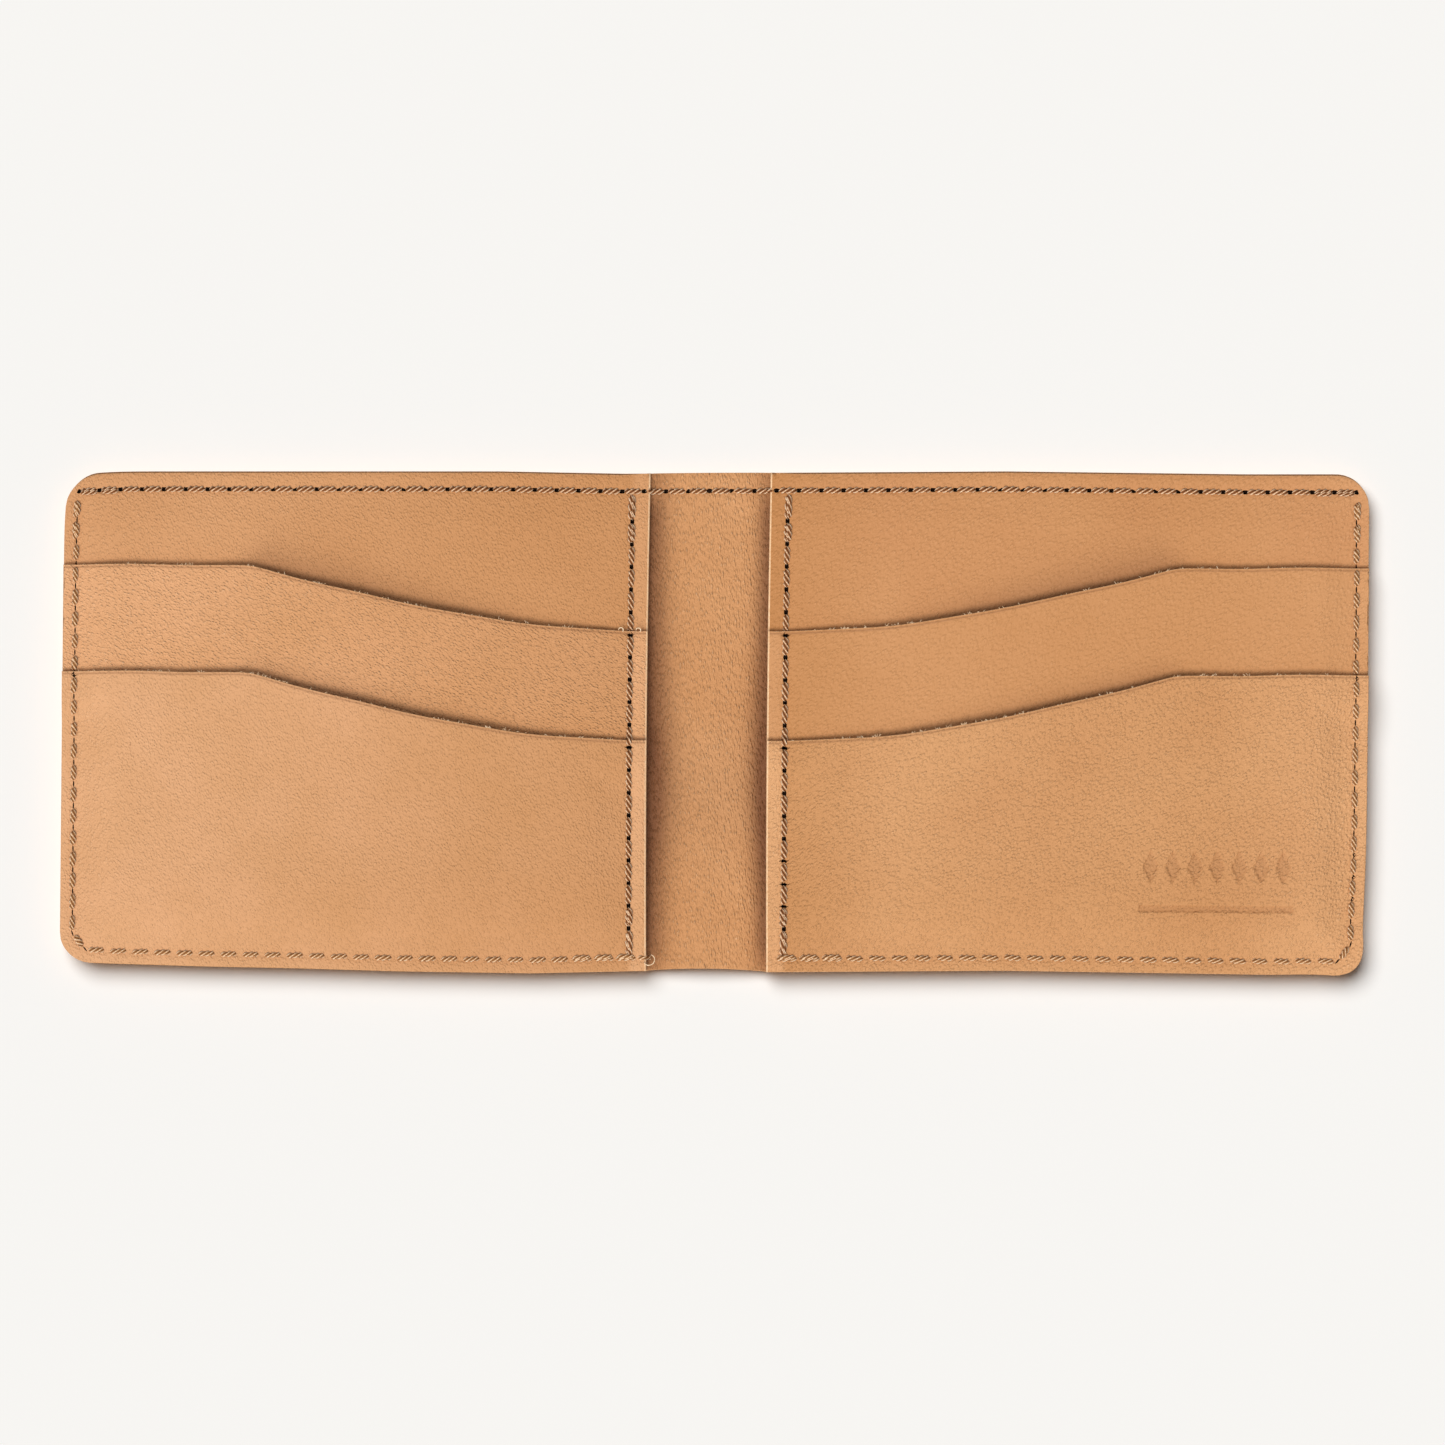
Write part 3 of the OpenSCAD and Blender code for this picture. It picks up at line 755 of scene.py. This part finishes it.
def pulled_in(x, y, holes, trough=0.2, dimple=0.1):
    """How far the thread pulls the leather down: a trough along the seam, a dimple at each hole."""
    points = np.array(holes)
    depth = np.zeros_like(x)
    for (ax, ay), (bx, by) in zip(points, points[1:]):
        run = np.hypot(bx - ax, by - ay)
        along = ((x - ax) * (bx - ax) + (y - ay) * (by - ay)) / run
        across = ((x - ax) * (by - ay) - (y - ay) * (bx - ax)) / run
        near = (along >= 0) & (along < run) & (np.abs(across) < 3)
        depth = np.where(near, np.maximum(depth, trough * np.exp(-(across / 0.5) ** 2)), depth)
    for hx, hy in points:
        reach = (x - hx) ** 2 + (y - hy) ** 2
        depth = depth + dimple * np.exp(-reach / 0.5)
    return depth


def beside(*seams):
    """Grid lines that a seam needs: its own, and two on each side of it."""
    return [seam + i * SEAM_LINE_STEP for seam in seams for i in range(-2, 3)]


STEP = 0.95
SEAM_LINE_STEP = 0.52
TOP_REVEAL = 0.3


def columns_from(low, *seams, fine=(), must=()):
    """Columns out to the rounded outer edge, where they stand closer."""
    return lines(low, HALF_W, STEP, fine=[(HALF_W, 0.75, 0.15), *fine],
                 must=[*beside(SIDE_SEAM_X, *seams), *must])


def full_rows(*seams):
    return lines(-HALF_H, HALF_H, STEP, must=beside(*seams))


def rounded(x, row):
    """Rows of a sheet with both outer corners rounded."""
    return row * (1 - corner_cut(x) / HALF_H)


def rounded_lower(x, row):
    """The same, cut a little short along the top, so that the cover shows behind it."""
    short = TOP_REVEAL * smooth(PANEL_X - 2, PANEL_X + 6, x) * smooth(HALF_H - 6, HALF_H, row)
    return rounded(x, row) - short


def over_crease(obj, side, node, spine_node):
    """Bakes the piece's placement into its mesh, and hides the CAD nodes it stands for on its half
    and on the spine.
    """
    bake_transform(obj)
    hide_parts(SIDE_NAMES[side] + "_" + node, spine_node)


def on_half(obj, side, node):
    """The piece is all on its half."""
    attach(obj, SIDE_NAMES[side] + "_half")
    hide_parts(SIDE_NAMES[side] + "_" + node)


def outer_cover(side):
    columns = columns_from(0, fine=[(CREASE_X, 6, 0.5)])
    bm = grid_sheet(columns, full_rows(BOTTOM_SEAM_Y), rounded)
    thicken(bm, COVER_T, open_edge=0)
    pierce(bm, PERIMETER_HOLES, -COVER_T, *OUTSIDE_HOLE)

    def underside(x, y):
        return pulled_in(x, y, PERIMETER_HOLES, trough=0.42)

    obj = finish_sheet("outer_cover", bm, side, COVER_T, cover_top, underside,
                       [COVER_HIDE, *SHELL_EDGES])
    over_crease(obj, side, "outer_cover", "spine_outer_cover")


def plug_middle(bm):
    """The stitch hole in the middle of the spine lies where the sheet's two halves meet, so it's
    a thin plug, level with the leather, painted dark for the hole's shade, and not a pit."""
    made = bmesh.ops.create_cone(bm, cap_ends=True, segments=8, radius1=1, radius2=1, depth=0.16)
    for vert in made["verts"]:
        vert.co.x *= SEAM_HOLE[0]
        vert.co.y = TOP_SEAM_Y + vert.co.y * SEAM_HOLE[1]
        for face in vert.link_faces:
            face.material_index = PIERCED


def bill_divider(side):
    columns = columns_from(0, fine=[(0, PANEL_X + 1, 0.5)])
    bm = grid_sheet(columns, full_rows(TOP_SEAM_Y), rounded_lower)
    thicken(bm, DIVIDER_T, open_edge=0)
    seen = [hole for hole in TOP_HOLES if 0.1 < hole[0] < PANEL_X]
    pierce(bm, seen, 0, *SEAM_HOLE)
    if side == RIGHT:
        plug_middle(bm)

    def top(x, y):
        return divider_top(x, y) - pulled_in(x, y, TOP_HOLES[:4])

    def painted_shade_and_marks(x, y):
        amount, reach = SPINE_SHADE_AND_WEAR[side]
        # Painted shade beside each panel, with some wear: widest a little below the middle and
        # weaker at both ends. A faint broad darker band also lies across the spine lower down
        handled = np.exp(-((y + 6) / 20) ** 2)
        ends = 1 - 0.5 * smooth(HALF_H - 7, HALF_H, np.abs(y + 1))
        beside_panel = np.exp(-(np.abs(x - PANEL_X) / (reach * (1 + 0.4 * handled))) ** 2.2)
        return (amount * (1 + 0.1 * handled) * ends * beside_panel * (x < PANEL_X + 2)
                + 0.16 * np.exp(-((y + 13) / 11) ** 2))

    obj = finish_sheet("bill_divider", bm, side, DIVIDER_T, top,
                       lowered(divider_top, DIVIDER_T), [DIVIDER_HIDE, *SHELL_EDGES], painted_shade_and_marks)
    over_crease(obj, side, "bill_divider", "spine_bill_divider")


def shadow_above_mouth(x, y, level, drop, spread_by=1.0, depth=0.34):
    """Painted shadow of the pocket in front, fading upwards from its mouth. Where the mouth gapes,
    below its knee, it's widest and darker by depth. It's gone at the spine."""
    over = y - mouth_y(x, level, drop)
    below_knee = smooth(INNER_SEAM_X, KNEE_X - 12, x) * (1 - smooth(KNEE_X - 4, KNEE_X + 5, x))
    reach = 0.7 + 1.6 * spread_by * below_knee
    amount = 0.1 + depth * below_knee
    return amount * np.exp(-(np.maximum(over, 0) / reach) ** 1.4) * smooth(PANEL_X, PANEL_X + 9, x)


def sewn_down(x, y):
    """How far the inner and perimeter seams pull the leather down."""
    return pulled_in(x, y, INNER_HOLES) + pulled_in(x, y, PERIMETER_HOLES, trough=0.16)


def shading_towards_spine(side, strip=0.0, low=0.0):
    """Painted shade, darker beside the spine than out at the ends. There's less of it in the strip
    outside the inner seam, by strip, and more above the bottom seam, by low."""
    places, amounts = SHADE_TOWARDS_SPINE[side]

    def painted_shading(x, y):
        outside = 1 - smooth(INNER_SEAM_X - 0.7, INNER_SEAM_X + 0.5, x)
        above = np.exp(-((y - BOTTOM_SEAM_Y - 9) / 7) ** 2)
        return np.interp(x, places, amounts) * (1 - strip * outside) + low * above
    return painted_shading


def back_panel(side):
    rows = full_rows(BOTTOM_SEAM_Y, TOP_SEAM_Y)
    bm = grid_sheet(columns_from(PANEL_X, INNER_SEAM_X), rows, rounded_lower)
    thicken(bm, PANEL_T)
    middle = [p for p in INNER_HOLES[1:] + PERIMETER_HOLES[1:]
              if p[1] > mouth_y(p[0], *MIDDLE_LINE)]
    pierce(bm, [p for p in TOP_HOLES if p[0] > PANEL_X], 0, *SEAM_HOLE)
    pierce(bm, [p for p in middle if p[0] < SIDE_SEAM_X - 1], 0, *SEAM_HOLE)
    pierce(bm, [p for p in middle if p[0] > SIDE_SEAM_X - 1], 0, *EDGE_HOLE)

    def top(x, y):
        return panel_top(x, y) - pulled_in(x, y, TOP_HOLES[3:]) - sewn_down(x, y)

    def painted_shade_and_marks(x, y):
        return shadow_above_mouth(x, y, *MIDDLE_LINE, spread_by=2.1, depth=0.42)

    obj = finish_sheet("back_panel", bm, side, PANEL_T, top,
                       lowered(panel_top, PANEL_T), [PANEL_HIDE[side], *POCKET_EDGES],
                       painted_shade_and_marks, shading_towards_spine(side, strip=0.8 if side == LEFT else 0))
    on_half(obj, side, "back_panel")


def along_edge(x, y, level, drop):
    """A faint dark line painted just below a mouth's edge."""
    below = mouth_y(x, level, drop) + mouth_waver(x) - y
    return 0.5 * np.exp(-((below - 0.42) / 0.15) ** 2)


def to_mouth(level, drop, split):
    """Places rows so that they are level up to split and follow the mouth's fall above it."""
    def place(x, row):
        share = np.clip((row - split) / (level - split), 0, None)
        mouth = mouth_y(x, level, drop) + mouth_waver(x)
        return np.where(row > split, split + share * (mouth - split), row)
    return place


def near_mouth(level):
    """Finer rows for lines() along a mouth, where the leather gapes and a dark line runs beside its
    edge.
    """
    return [(level, 2.5, 0.4), (level, 0.9, 0.15)]


def mouth_waver(x):
    """A hand-cut mouth isn't quite a drawn line."""
    return 0.09 * np.sin(x / 7.3) + 0.06 * np.sin(x / 3.1 + 1)


def middle_pocket(side):
    columns = columns_from(PANEL_X, INNER_SEAM_X,
                           must=[PANEL_X + TAB_STEP, HALF_W - TAB_STEP, KNEE_X])
    rows = lines(FOOT_Y, MIDDLE_MOUTH, STEP, fine=near_mouth(MIDDLE_MOUTH),
                 must=[INNER_TAB_Y, OUTER_TAB_Y])

    def keep(x, y):
        inner_tab = x < PANEL_X + TAB_STEP and y < INNER_TAB_Y
        outer_tab = x > HALF_W - TAB_STEP and y < OUTER_TAB_Y
        return not (inner_tab or outer_tab)

    bm = grid_sheet(columns, rows, to_mouth(*MIDDLE_LINE, OUTER_TAB_Y), keep)
    thicken(bm, MIDDLE_T)
    seen = [(x, y) for x, y in INNER_HOLES + PERIMETER_HOLES
            if mouth_y(x, *FRONT_LINE) < y < mouth_y(x, *MIDDLE_LINE)]
    pierce(bm, [p for p in seen if p[0] < KNEE_X], 0, *SEAM_HOLE)
    pierce(bm, [p for p in seen if p[0] > KNEE_X], 0, *EDGE_HOLE)

    def top(x, y):
        return middle_top(x, y) - sewn_down(x, y)

    def painted_shade_and_marks(x, y):
        shade = shadow_above_mouth(x, y, *FRONT_LINE)
        return shade + along_edge(x, y, *MIDDLE_LINE)

    obj = finish_sheet("middle_pocket", bm, side, MIDDLE_T, top,
                       lowered(middle_top, MIDDLE_T), [MIDDLE_HIDE[side], *POCKET_EDGES],
                       painted_shade_and_marks, shading_towards_spine(side, strip=0.8))
    on_half(obj, side, "middle_pocket")


# The blind-stamped ornament on the right front pocket: a row of lozenges over a rule
STAMP_X = 85.8
STAMP_Y = BOTTOM_SEAM_Y + 14
STAMP_W = 26
STAMP_H = 11
STAMP_COUNT = 7
STAMP_DEPTH = 0.3
STAMP_STEP = 0.19
RULE_HALF_W = 0.45
WALL = (-0.25, 0.1)


def stamped(x, y):
    """Depth of the ornament at a point."""
    pitch = STAMP_W / STAMP_COUNT
    half_w, half_h = pitch * 0.4, STAMP_H * 0.3
    across = x - (STAMP_X - STAMP_W / 2)
    nearest = (np.clip(np.floor(across / pitch), 0, STAMP_COUNT - 1) + 0.5) * pitch
    lozenge_y = STAMP_Y + STAMP_H * 0.2
    inside = 1 - np.abs(across - nearest) / half_w - np.abs(y - lozenge_y) / half_h
    lozenges = smooth(0, 0.3, inside)
    rule_y = STAMP_Y - STAMP_H / 2 + RULE_HALF_W
    rule = (smooth(*WALL, RULE_HALF_W - np.abs(y - rule_y))
            * smooth(*WALL, STAMP_W / 2 - np.abs(x - STAMP_X)))
    return STAMP_DEPTH * np.maximum(lozenges, rule)


def front_pocket(side):
    fine_x, fine_y = [], near_mouth(FRONT_MOUTH)
    if side == RIGHT:
        fine_x.append((STAMP_X, STAMP_W / 2 + 0.6, STAMP_STEP))
        fine_y.append((STAMP_Y, STAMP_H / 2 + 0.6, STAMP_STEP))
    columns = columns_from(PANEL_X, INNER_SEAM_X, fine=fine_x, must=[KNEE_X])
    rows = lines(-HALF_H, FRONT_MOUTH, STEP, fine=fine_y, must=beside(BOTTOM_SEAM_Y))
    split = -HALF_H + 22

    def place(x, row):
        raised = to_mouth(*FRONT_LINE, split)(x, row)
        low = -HALF_H + corner_cut(x)
        pressed_up = split - (split - row) * (split - low) / (split + HALF_H)
        return np.where(row < split, pressed_up, raised)

    bm = grid_sheet(columns, rows, place)
    thicken(bm, FRONT_T)
    inner = [(x, y) for x, y in INNER_HOLES[:-1] if y < mouth_y(x, *FRONT_LINE)]
    edge = [(x, y) for x, y in PERIMETER_HOLES
            if y < mouth_y(x, *FRONT_LINE) and x > SIDE_SEAM_X - SEAM_CORNER_R]
    pierce(bm, inner, 0, *SEAM_HOLE)
    pierce(bm, edge, 0, *EDGE_HOLE)

    def top(x, y):
        pressed = stamped(x, y) if side == RIGHT else 0
        return front_top(x, y) - sewn_down(x, y) - pressed

    def painted_shade_and_marks(x, y):
        # Painted shade in the stamp's recesses
        pressed = 0.2 * stamped(x, y) / STAMP_DEPTH if side == RIGHT else 0
        return pressed + along_edge(x, y, *FRONT_LINE)

    obj = finish_sheet("front_pocket", bm, side, FRONT_T, top,
                       lowered(front_top, FRONT_T), [FRONT_HIDE[side], *POCKET_EDGES],
                       painted_shade_and_marks, shading_towards_spine(side, strip=0.9, low=0.08))
    on_half(obj, side, "front_pocket")


# ---------------- thread

RINGS = 12
AROUND = 2 * PLIES
PLY_TWIST = math.radians(500)


def stitch_template():
    """A tube of RINGS by AROUND faces, laid out flat: along it in x, round it in y."""
    bm = bmesh.new()
    bmesh.ops.create_grid(bm, x_segments=RINGS, y_segments=AROUND, size=0.5)
    bmesh.ops.translate(bm, verts=bm.verts, vec=(0.5, 0.5, 0))
    ply = bm.loops.layers.uv.new("ply")
    for face in bm.faces:
        face.smooth = True
        for loop in face.loops:
            loop[ply].uv = loop.vert.co.xy
    return mesh_of("stitch", bm)


def tube_points(grid, path, radius, flat):
    """Places a template's points round a path, given at its rings. Every second point round it
    stands proud, so that the twisted tube has three plies."""
    ring = np.rint(grid[:, 0] * RINGS).astype(int)
    step = np.rint(grid[:, 1] * AROUND).astype(int)
    ahead = np.gradient(path, axis=0)
    ahead /= np.linalg.norm(ahead, axis=1)[:, None]
    across = np.cross(ahead, (0, 0, 1))
    size = np.linalg.norm(across, axis=1)[:, None]
    across = across / np.maximum(size, 1e-6)
    up = np.cross(across, ahead)
    turn = step * 2 * math.pi / AROUND + ring / RINGS * PLY_TWIST
    proud = np.where(step % 2 == 0, 1.0, 0.68)
    reach = (radius[ring] * proud)[:, None]
    return (path[ring] + across[ring] * reach * np.cos(turn)[:, None]
            + up[ring] * reach * flat * np.sin(turn)[:, None])


def stitch_path(a, b, height, sink, slant, plunge, inset):
    """Middle of the thread from hole a to hole b, and how near its ends each point of it is. It
    comes up out of one hole, goes over the leather, and down the other."""
    a, b = np.array(a), np.array(b)
    t = (1 - np.cos(np.linspace(0, math.pi, RINGS + 1))) / 2
    inset = inset / np.hypot(*(b - a))
    t = inset + t * (1 - 2 * inset)
    run = (b - a) / np.hypot(*(b - a))
    side = np.array([-run[1], run[0]])
    flat = a + np.outer(t, b - a) + np.outer(slant * (2 * t - 1), side)
    level = height(flat[:, 0], flat[:, 1])
    soft = np.convolve(np.pad(level, 1, mode="edge"), [0.25, 0.5, 0.25], mode="valid")
    level = np.maximum(level, soft)
    full = 1 - 2 * inset
    end = np.clip((np.abs(2 * t - 1) / full - 0.72) / 0.28, 0, 1)
    return np.column_stack([flat, level + sink - plunge * end ** 2]), end


def thread_piece(node, side, stitches, thread=THREAD):
    """One thread from its stitches: each is (hole, hole, how it lies)."""
    tubes = []
    lens = np.sin(np.linspace(0, math.pi, RINGS + 1)) ** 0.8
    for a, b, lie in stitches:
        path, end = stitch_path(a, b, lie["height"], lie["sink"], lie["slant"], lie["plunge"],
                                lie["inset"])
        path[:, :2] += lie.get("shift", (0, 0))
        radius = lie["radius"] * (1 - lie["pinch"] * (1 - lens)) * (1 - 0.42 * end)
        tubes.append((laid(path, side), radius, lie["flat"]))
    return tube_piece(node + "_" + SIDE_NAMES[side], tubes, thread)


def tube_piece(name, tubes, material):
    """One object of many short twisted tubes with closed ends: each a path, its radii and how
    much it is flattened."""
    template = stitch_template()
    grid = np.array([v.co for v in template.vertices])
    bm = bmesh.new()
    placed = []
    for path, radius, flat in tubes:
        radius = radius.copy()
        radius[[0, -1]] = 0
        placed.append(tube_points(grid, path, radius, flat))
        bm.from_mesh(template)
    bm.verts.ensure_lookup_table()
    for vert, place in zip(bm.verts, np.vstack(placed)):
        vert.co = place * MM
    bmesh.ops.remove_doubles(bm, verts=bm.verts, dist=1e-7)
    bmesh.ops.recalc_face_normals(bm, faces=bm.faces)
    mesh = mesh_of(name, bm)
    bpy.data.meshes.remove(template)
    return link(name, mesh, [material])


def stitch(rng, radius=0.44, height=surface, sink=0.0, slant=0.0, wander=0.05, flat=0.75,
           plunge=0.95, inset=0.4, pinch=0.25):
    """How one stitch lies, with a little of the unevenness of sewing."""
    return dict(radius=radius * rng.uniform(0.93, 1.05), height=height, sink=sink,
                slant=slant + rng.uniform(-wander, wander), flat=flat, plunge=plunge,
                inset=inset * rng.uniform(0.85, 1.15), pinch=pinch)


# How far the inner seam's end stitches reach towards the seams that cross it
SEAM_TUCK = 1.15

# Along the side the stitches are lens-shaped and nearly join. Along the bottom they lie aslant
SIDE_STITCH = dict(radius=0.58, slant=0.08, inset=0.62, plunge=0.8, pinch=0.66, sink=0.16, flat=0.8)
BOTTOM_STITCH = dict(radius=0.52, slant=-0.16, inset=0.5, plunge=0.8, pinch=0.35, sink=0.04)

# Bobbin thread that shows nowhere: it runs under the back panel or under the divider
HIDDEN_BOBBIN = dict(radius=0.28, height=lowered(panel_top, PANEL_T), sink=0.08, plunge=-0.4)
TOP_BOBBIN = dict(radius=0.3, height=lowered(divider_top, DIVIDER_T), sink=0.06, plunge=-0.4)


def row_of(holes, rng, **how):
    return [(a, b, stitch(rng, **how)) for a, b in zip(holes, holes[1:])]


def backtack(holes, rng, shift, **how):
    """A second pass over the same holes, where the seam was locked off."""
    doubled = []
    for a, b in zip(holes, holes[1:]):
        lie = stitch(rng, **how)
        lie["shift"] = shift
        lie["sink"] += 0.16
        doubled.append((a, b, lie))
    return doubled


def sewn_on_half(seam, kind, side, stitches, thread=THREAD):
    """The needle or bobbin thread of a seam that is all on its half."""
    node = seam + "_" + kind + "_thread"
    piece = thread_piece(node, side, stitches, thread)
    on_half(piece, side, node)


def sewn_over_crease(kind, side, stitches):
    """The needle or bobbin thread of the top seam, which runs on over the spine."""
    node = "top_" + kind + "_thread"
    piece = thread_piece(node, side, stitches)
    over_crease(piece, side, node, "spine_" + kind + "_thread")


def top_threads(side):
    rng = random.Random(11 + side)
    stitches = row_of(TOP_HOLES, rng, radius=0.58)
    stitches += backtack(TOP_HOLES[-3:], rng, (0, -0.3), radius=0.48)
    sewn_over_crease("needle", side, stitches)
    sewn_over_crease("bobbin", side, row_of(TOP_HOLES, rng, **TOP_BOBBIN))


def inner_threads(side):
    rng = random.Random(31 + side)
    # Both ends of the seam come right up to the seams that cross them
    first, last = INNER_HOLES[0], INNER_HOLES[-1]
    holes = [(first[0], first[1] + SEAM_TUCK), *INNER_HOLES[1:-1], (last[0], last[1] - SEAM_TUCK)]
    stitches = row_of(holes, rng, radius=0.64, pinch=0.42)
    stitches += backtack(holes[:3], rng, (0.26, 0), radius=0.54)
    stitches += backtack(holes[-3:], rng, (-0.24, 0), radius=0.54)
    sewn_on_half("inner", "needle", side, stitches)
    sewn_on_half("inner", "bobbin", side, row_of(INNER_HOLES, rng, **HIDDEN_BOBBIN))


def perimeter_threads(side):
    rng = random.Random(51 + side)
    turn = next(i for i, hole in enumerate(PERIMETER_HOLES) if hole[1] < BOTTOM_SEAM_Y + 0.2)
    stitches = row_of(PERIMETER_HOLES[:turn + 1], rng, **SIDE_STITCH)
    stitches += row_of(PERIMETER_HOLES[turn:-3], rng, **BOTTOM_STITCH)
    ends = list(PERIMETER_HOLES[-4:])
    if side == LEFT:
        # This seam was sewn a stitch too far, past the panels' edge
        ends.append((PANEL_X - 1.1, BOTTOM_SEAM_Y))
    stitches += row_of(ends, rng, radius=0.5, inset=0.12)
    stitches += backtack(PERIMETER_HOLES[:3], rng, (0.26, 0), radius=0.46)
    stitches += backtack(PERIMETER_HOLES[-4:], rng, (0, 0.26), radius=0.46)
    sewn_on_half("perimeter", "needle", side, stitches, HANDLED_THREAD)
    outside = row_of(PERIMETER_HOLES, rng, radius=0.34, height=lowered(cover_top, COVER_T),
                     sink=0.28, slant=-0.1, plunge=-0.5)
    sewn_on_half("perimeter", "bobbin", side, outside)


def stop_threads(side):
    rng = random.Random(71 + side)
    stitches = row_of(STOP_HOLES, rng, radius=0.28, height=middle_top, sink=-0.12, plunge=0.5)
    sewn_on_half("stop", "needle", side, stitches)
    sewn_on_half("stop", "bobbin", side, row_of(STOP_HOLES, rng, **HIDDEN_BOBBIN))


def fibre_path(root, heading, length, curl, lift):
    """A short curved fibre from its root, as points and how far along each one is."""
    t = np.linspace(0, 1, RINGS + 1)
    way = heading + curl * t
    steps = np.column_stack([np.cos(way), np.sin(way), lift * (1 - 2 * t)]) * length / RINGS
    return np.array(root) + np.cumsum(steps, axis=0), t


def mouth_fibres(rng, level, drop, count):
    """Fibres that stand up along a pocket's cut mouth, mostly in small tufts."""
    for _ in range(count):
        x = rng.uniform(INNER_SEAM_X + 1, SIDE_SEAM_X - 1)
        for _ in range(rng.choice((1, 1, 2, 3))):
            x += rng.uniform(0.1, 0.5)
            y = float(mouth_y(x, level, drop)) - 0.1
            root = (x, y, float(surface(np.array(x), np.array(y - 0.3))) - 0.1)
            path, t = fibre_path(root, math.radians(rng.uniform(20, 160)), rng.uniform(0.25, 0.6),
                                 rng.uniform(-1.5, 1.5), rng.uniform(0, 0.5))
            yield path, rng.uniform(0.045, 0.075) * (1 - 0.6 * t)


def loose_fibres(side):
    rng = random.Random(91 + side)
    ends = list(mouth_fibres(rng, *MIDDLE_LINE, 55))
    ends += mouth_fibres(rng, *FRONT_LINE, 65)
    if side == LEFT:
        # Loops of split leather where the mouth meets the inner seam, and one at the last stitch
        for x in (INNER_SEAM_X + 1.5, INNER_SEAM_X - 1.5):
            y = float(mouth_y(x, *MIDDLE_LINE))
            root = (x, y - 0.2, float(middle_top(np.array(x), np.array(y - 0.5))))
            path, t = fibre_path(root, math.radians(150), 1.7, -4.2, 0.4)
            ends.append((path, 0.13 * (1 - 0.3 * t)))
        x, y = PANEL_X + 0.4, BOTTOM_SEAM_Y - 0.3
        path, t = fibre_path((x, y, float(surface(np.array(x), np.array(y))) + 0.1),
                             math.radians(-95), 4.0, -4.3, 0.15)
        ends.append((path, 0.12 * (1 - 0.3 * t)))
    tubes = [(laid(path, side), radius, 1.0) for path, radius in ends]
    fibres = tube_piece("loose_fibres_" + SIDE_NAMES[side], tubes, SPLIT_FIBRE)
    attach(fibres, SIDE_NAMES[side] + "_half")


for half in (LEFT, RIGHT):
    for make in (outer_cover, bill_divider, back_panel, middle_pocket, front_pocket, top_threads,
                 inner_threads, perimeter_threads, stop_threads, loose_fibres):
        make(half)


# ---------------- stage and light

def make_floor():
    bm = bmesh.new()
    bmesh.ops.create_grid(bm, x_segments=1, y_segments=1, size=4)
    material, tree = new_material("white paper")
    shader = add(tree, "BsdfDiffuse", {"Color": colour("#f6f6f6"), "Roughness": 0.0})
    add(tree, "OutputMaterial", {"Surface": shader})
    floor = link("floor", mesh_of("floor", bm), [material])
    return floor


def make_light(name, toward, height, strength, tint, softness, lit):
    """A broad soft light that reaches only the objects in lit. toward is the way to it, in degrees
    round from +X, and height its degrees above the table."""
    data = bpy.data.lights.new(name, "SUN")
    data.energy, data.color, data.angle = strength, tint, math.radians(softness)
    light = bpy.data.objects.new(name, data)
    turn, rise = math.radians(toward), math.radians(height)
    across = math.cos(rise)
    place = Vector((across * math.cos(turn), across * math.sin(turn), math.sin(rise)))
    light.location = place
    light.rotation_euler = place.to_track_quat("Z", "Y").to_euler()
    bpy.context.scene.collection.objects.link(light)
    group = bpy.data.collections.new("lit by " + name)
    for obj in lit:
        group.objects.link(obj)
    light.light_linking.receiver_collection = group


def make_world():
    """A dim, even white room. Nearly all of the light comes from the three lights."""
    world = bpy.data.worlds.new("room")
    world.use_nodes = True
    tree = world.node_tree
    tree.nodes.clear()
    light = add(tree, "Background", {"Color": (0.99, 1.0, 1.0, 1), "Strength": 0.06})
    add(tree, "OutputWorld", {"Surface": light})
    bpy.context.scene.world = world
    bpy.context.scene.view_settings.view_transform = "Standard"


wallet_pieces = [o for o in bpy.data.objects if o.type == "MESH"]
paper = make_floor()
make_light("table light", toward=126, height=60, strength=3.45, tint=(1, 0.983, 0.953),
           softness=44, lit=[paper])
make_light("wallet light", toward=243, height=60, strength=2.5, tint=(1, 0.985, 0.955),
           softness=30, lit=wallet_pieces)
make_light("wallet fill", toward=0, height=90, strength=1.5, tint=(0.99, 1, 1),
           softness=150, lit=wallet_pieces)
make_world()
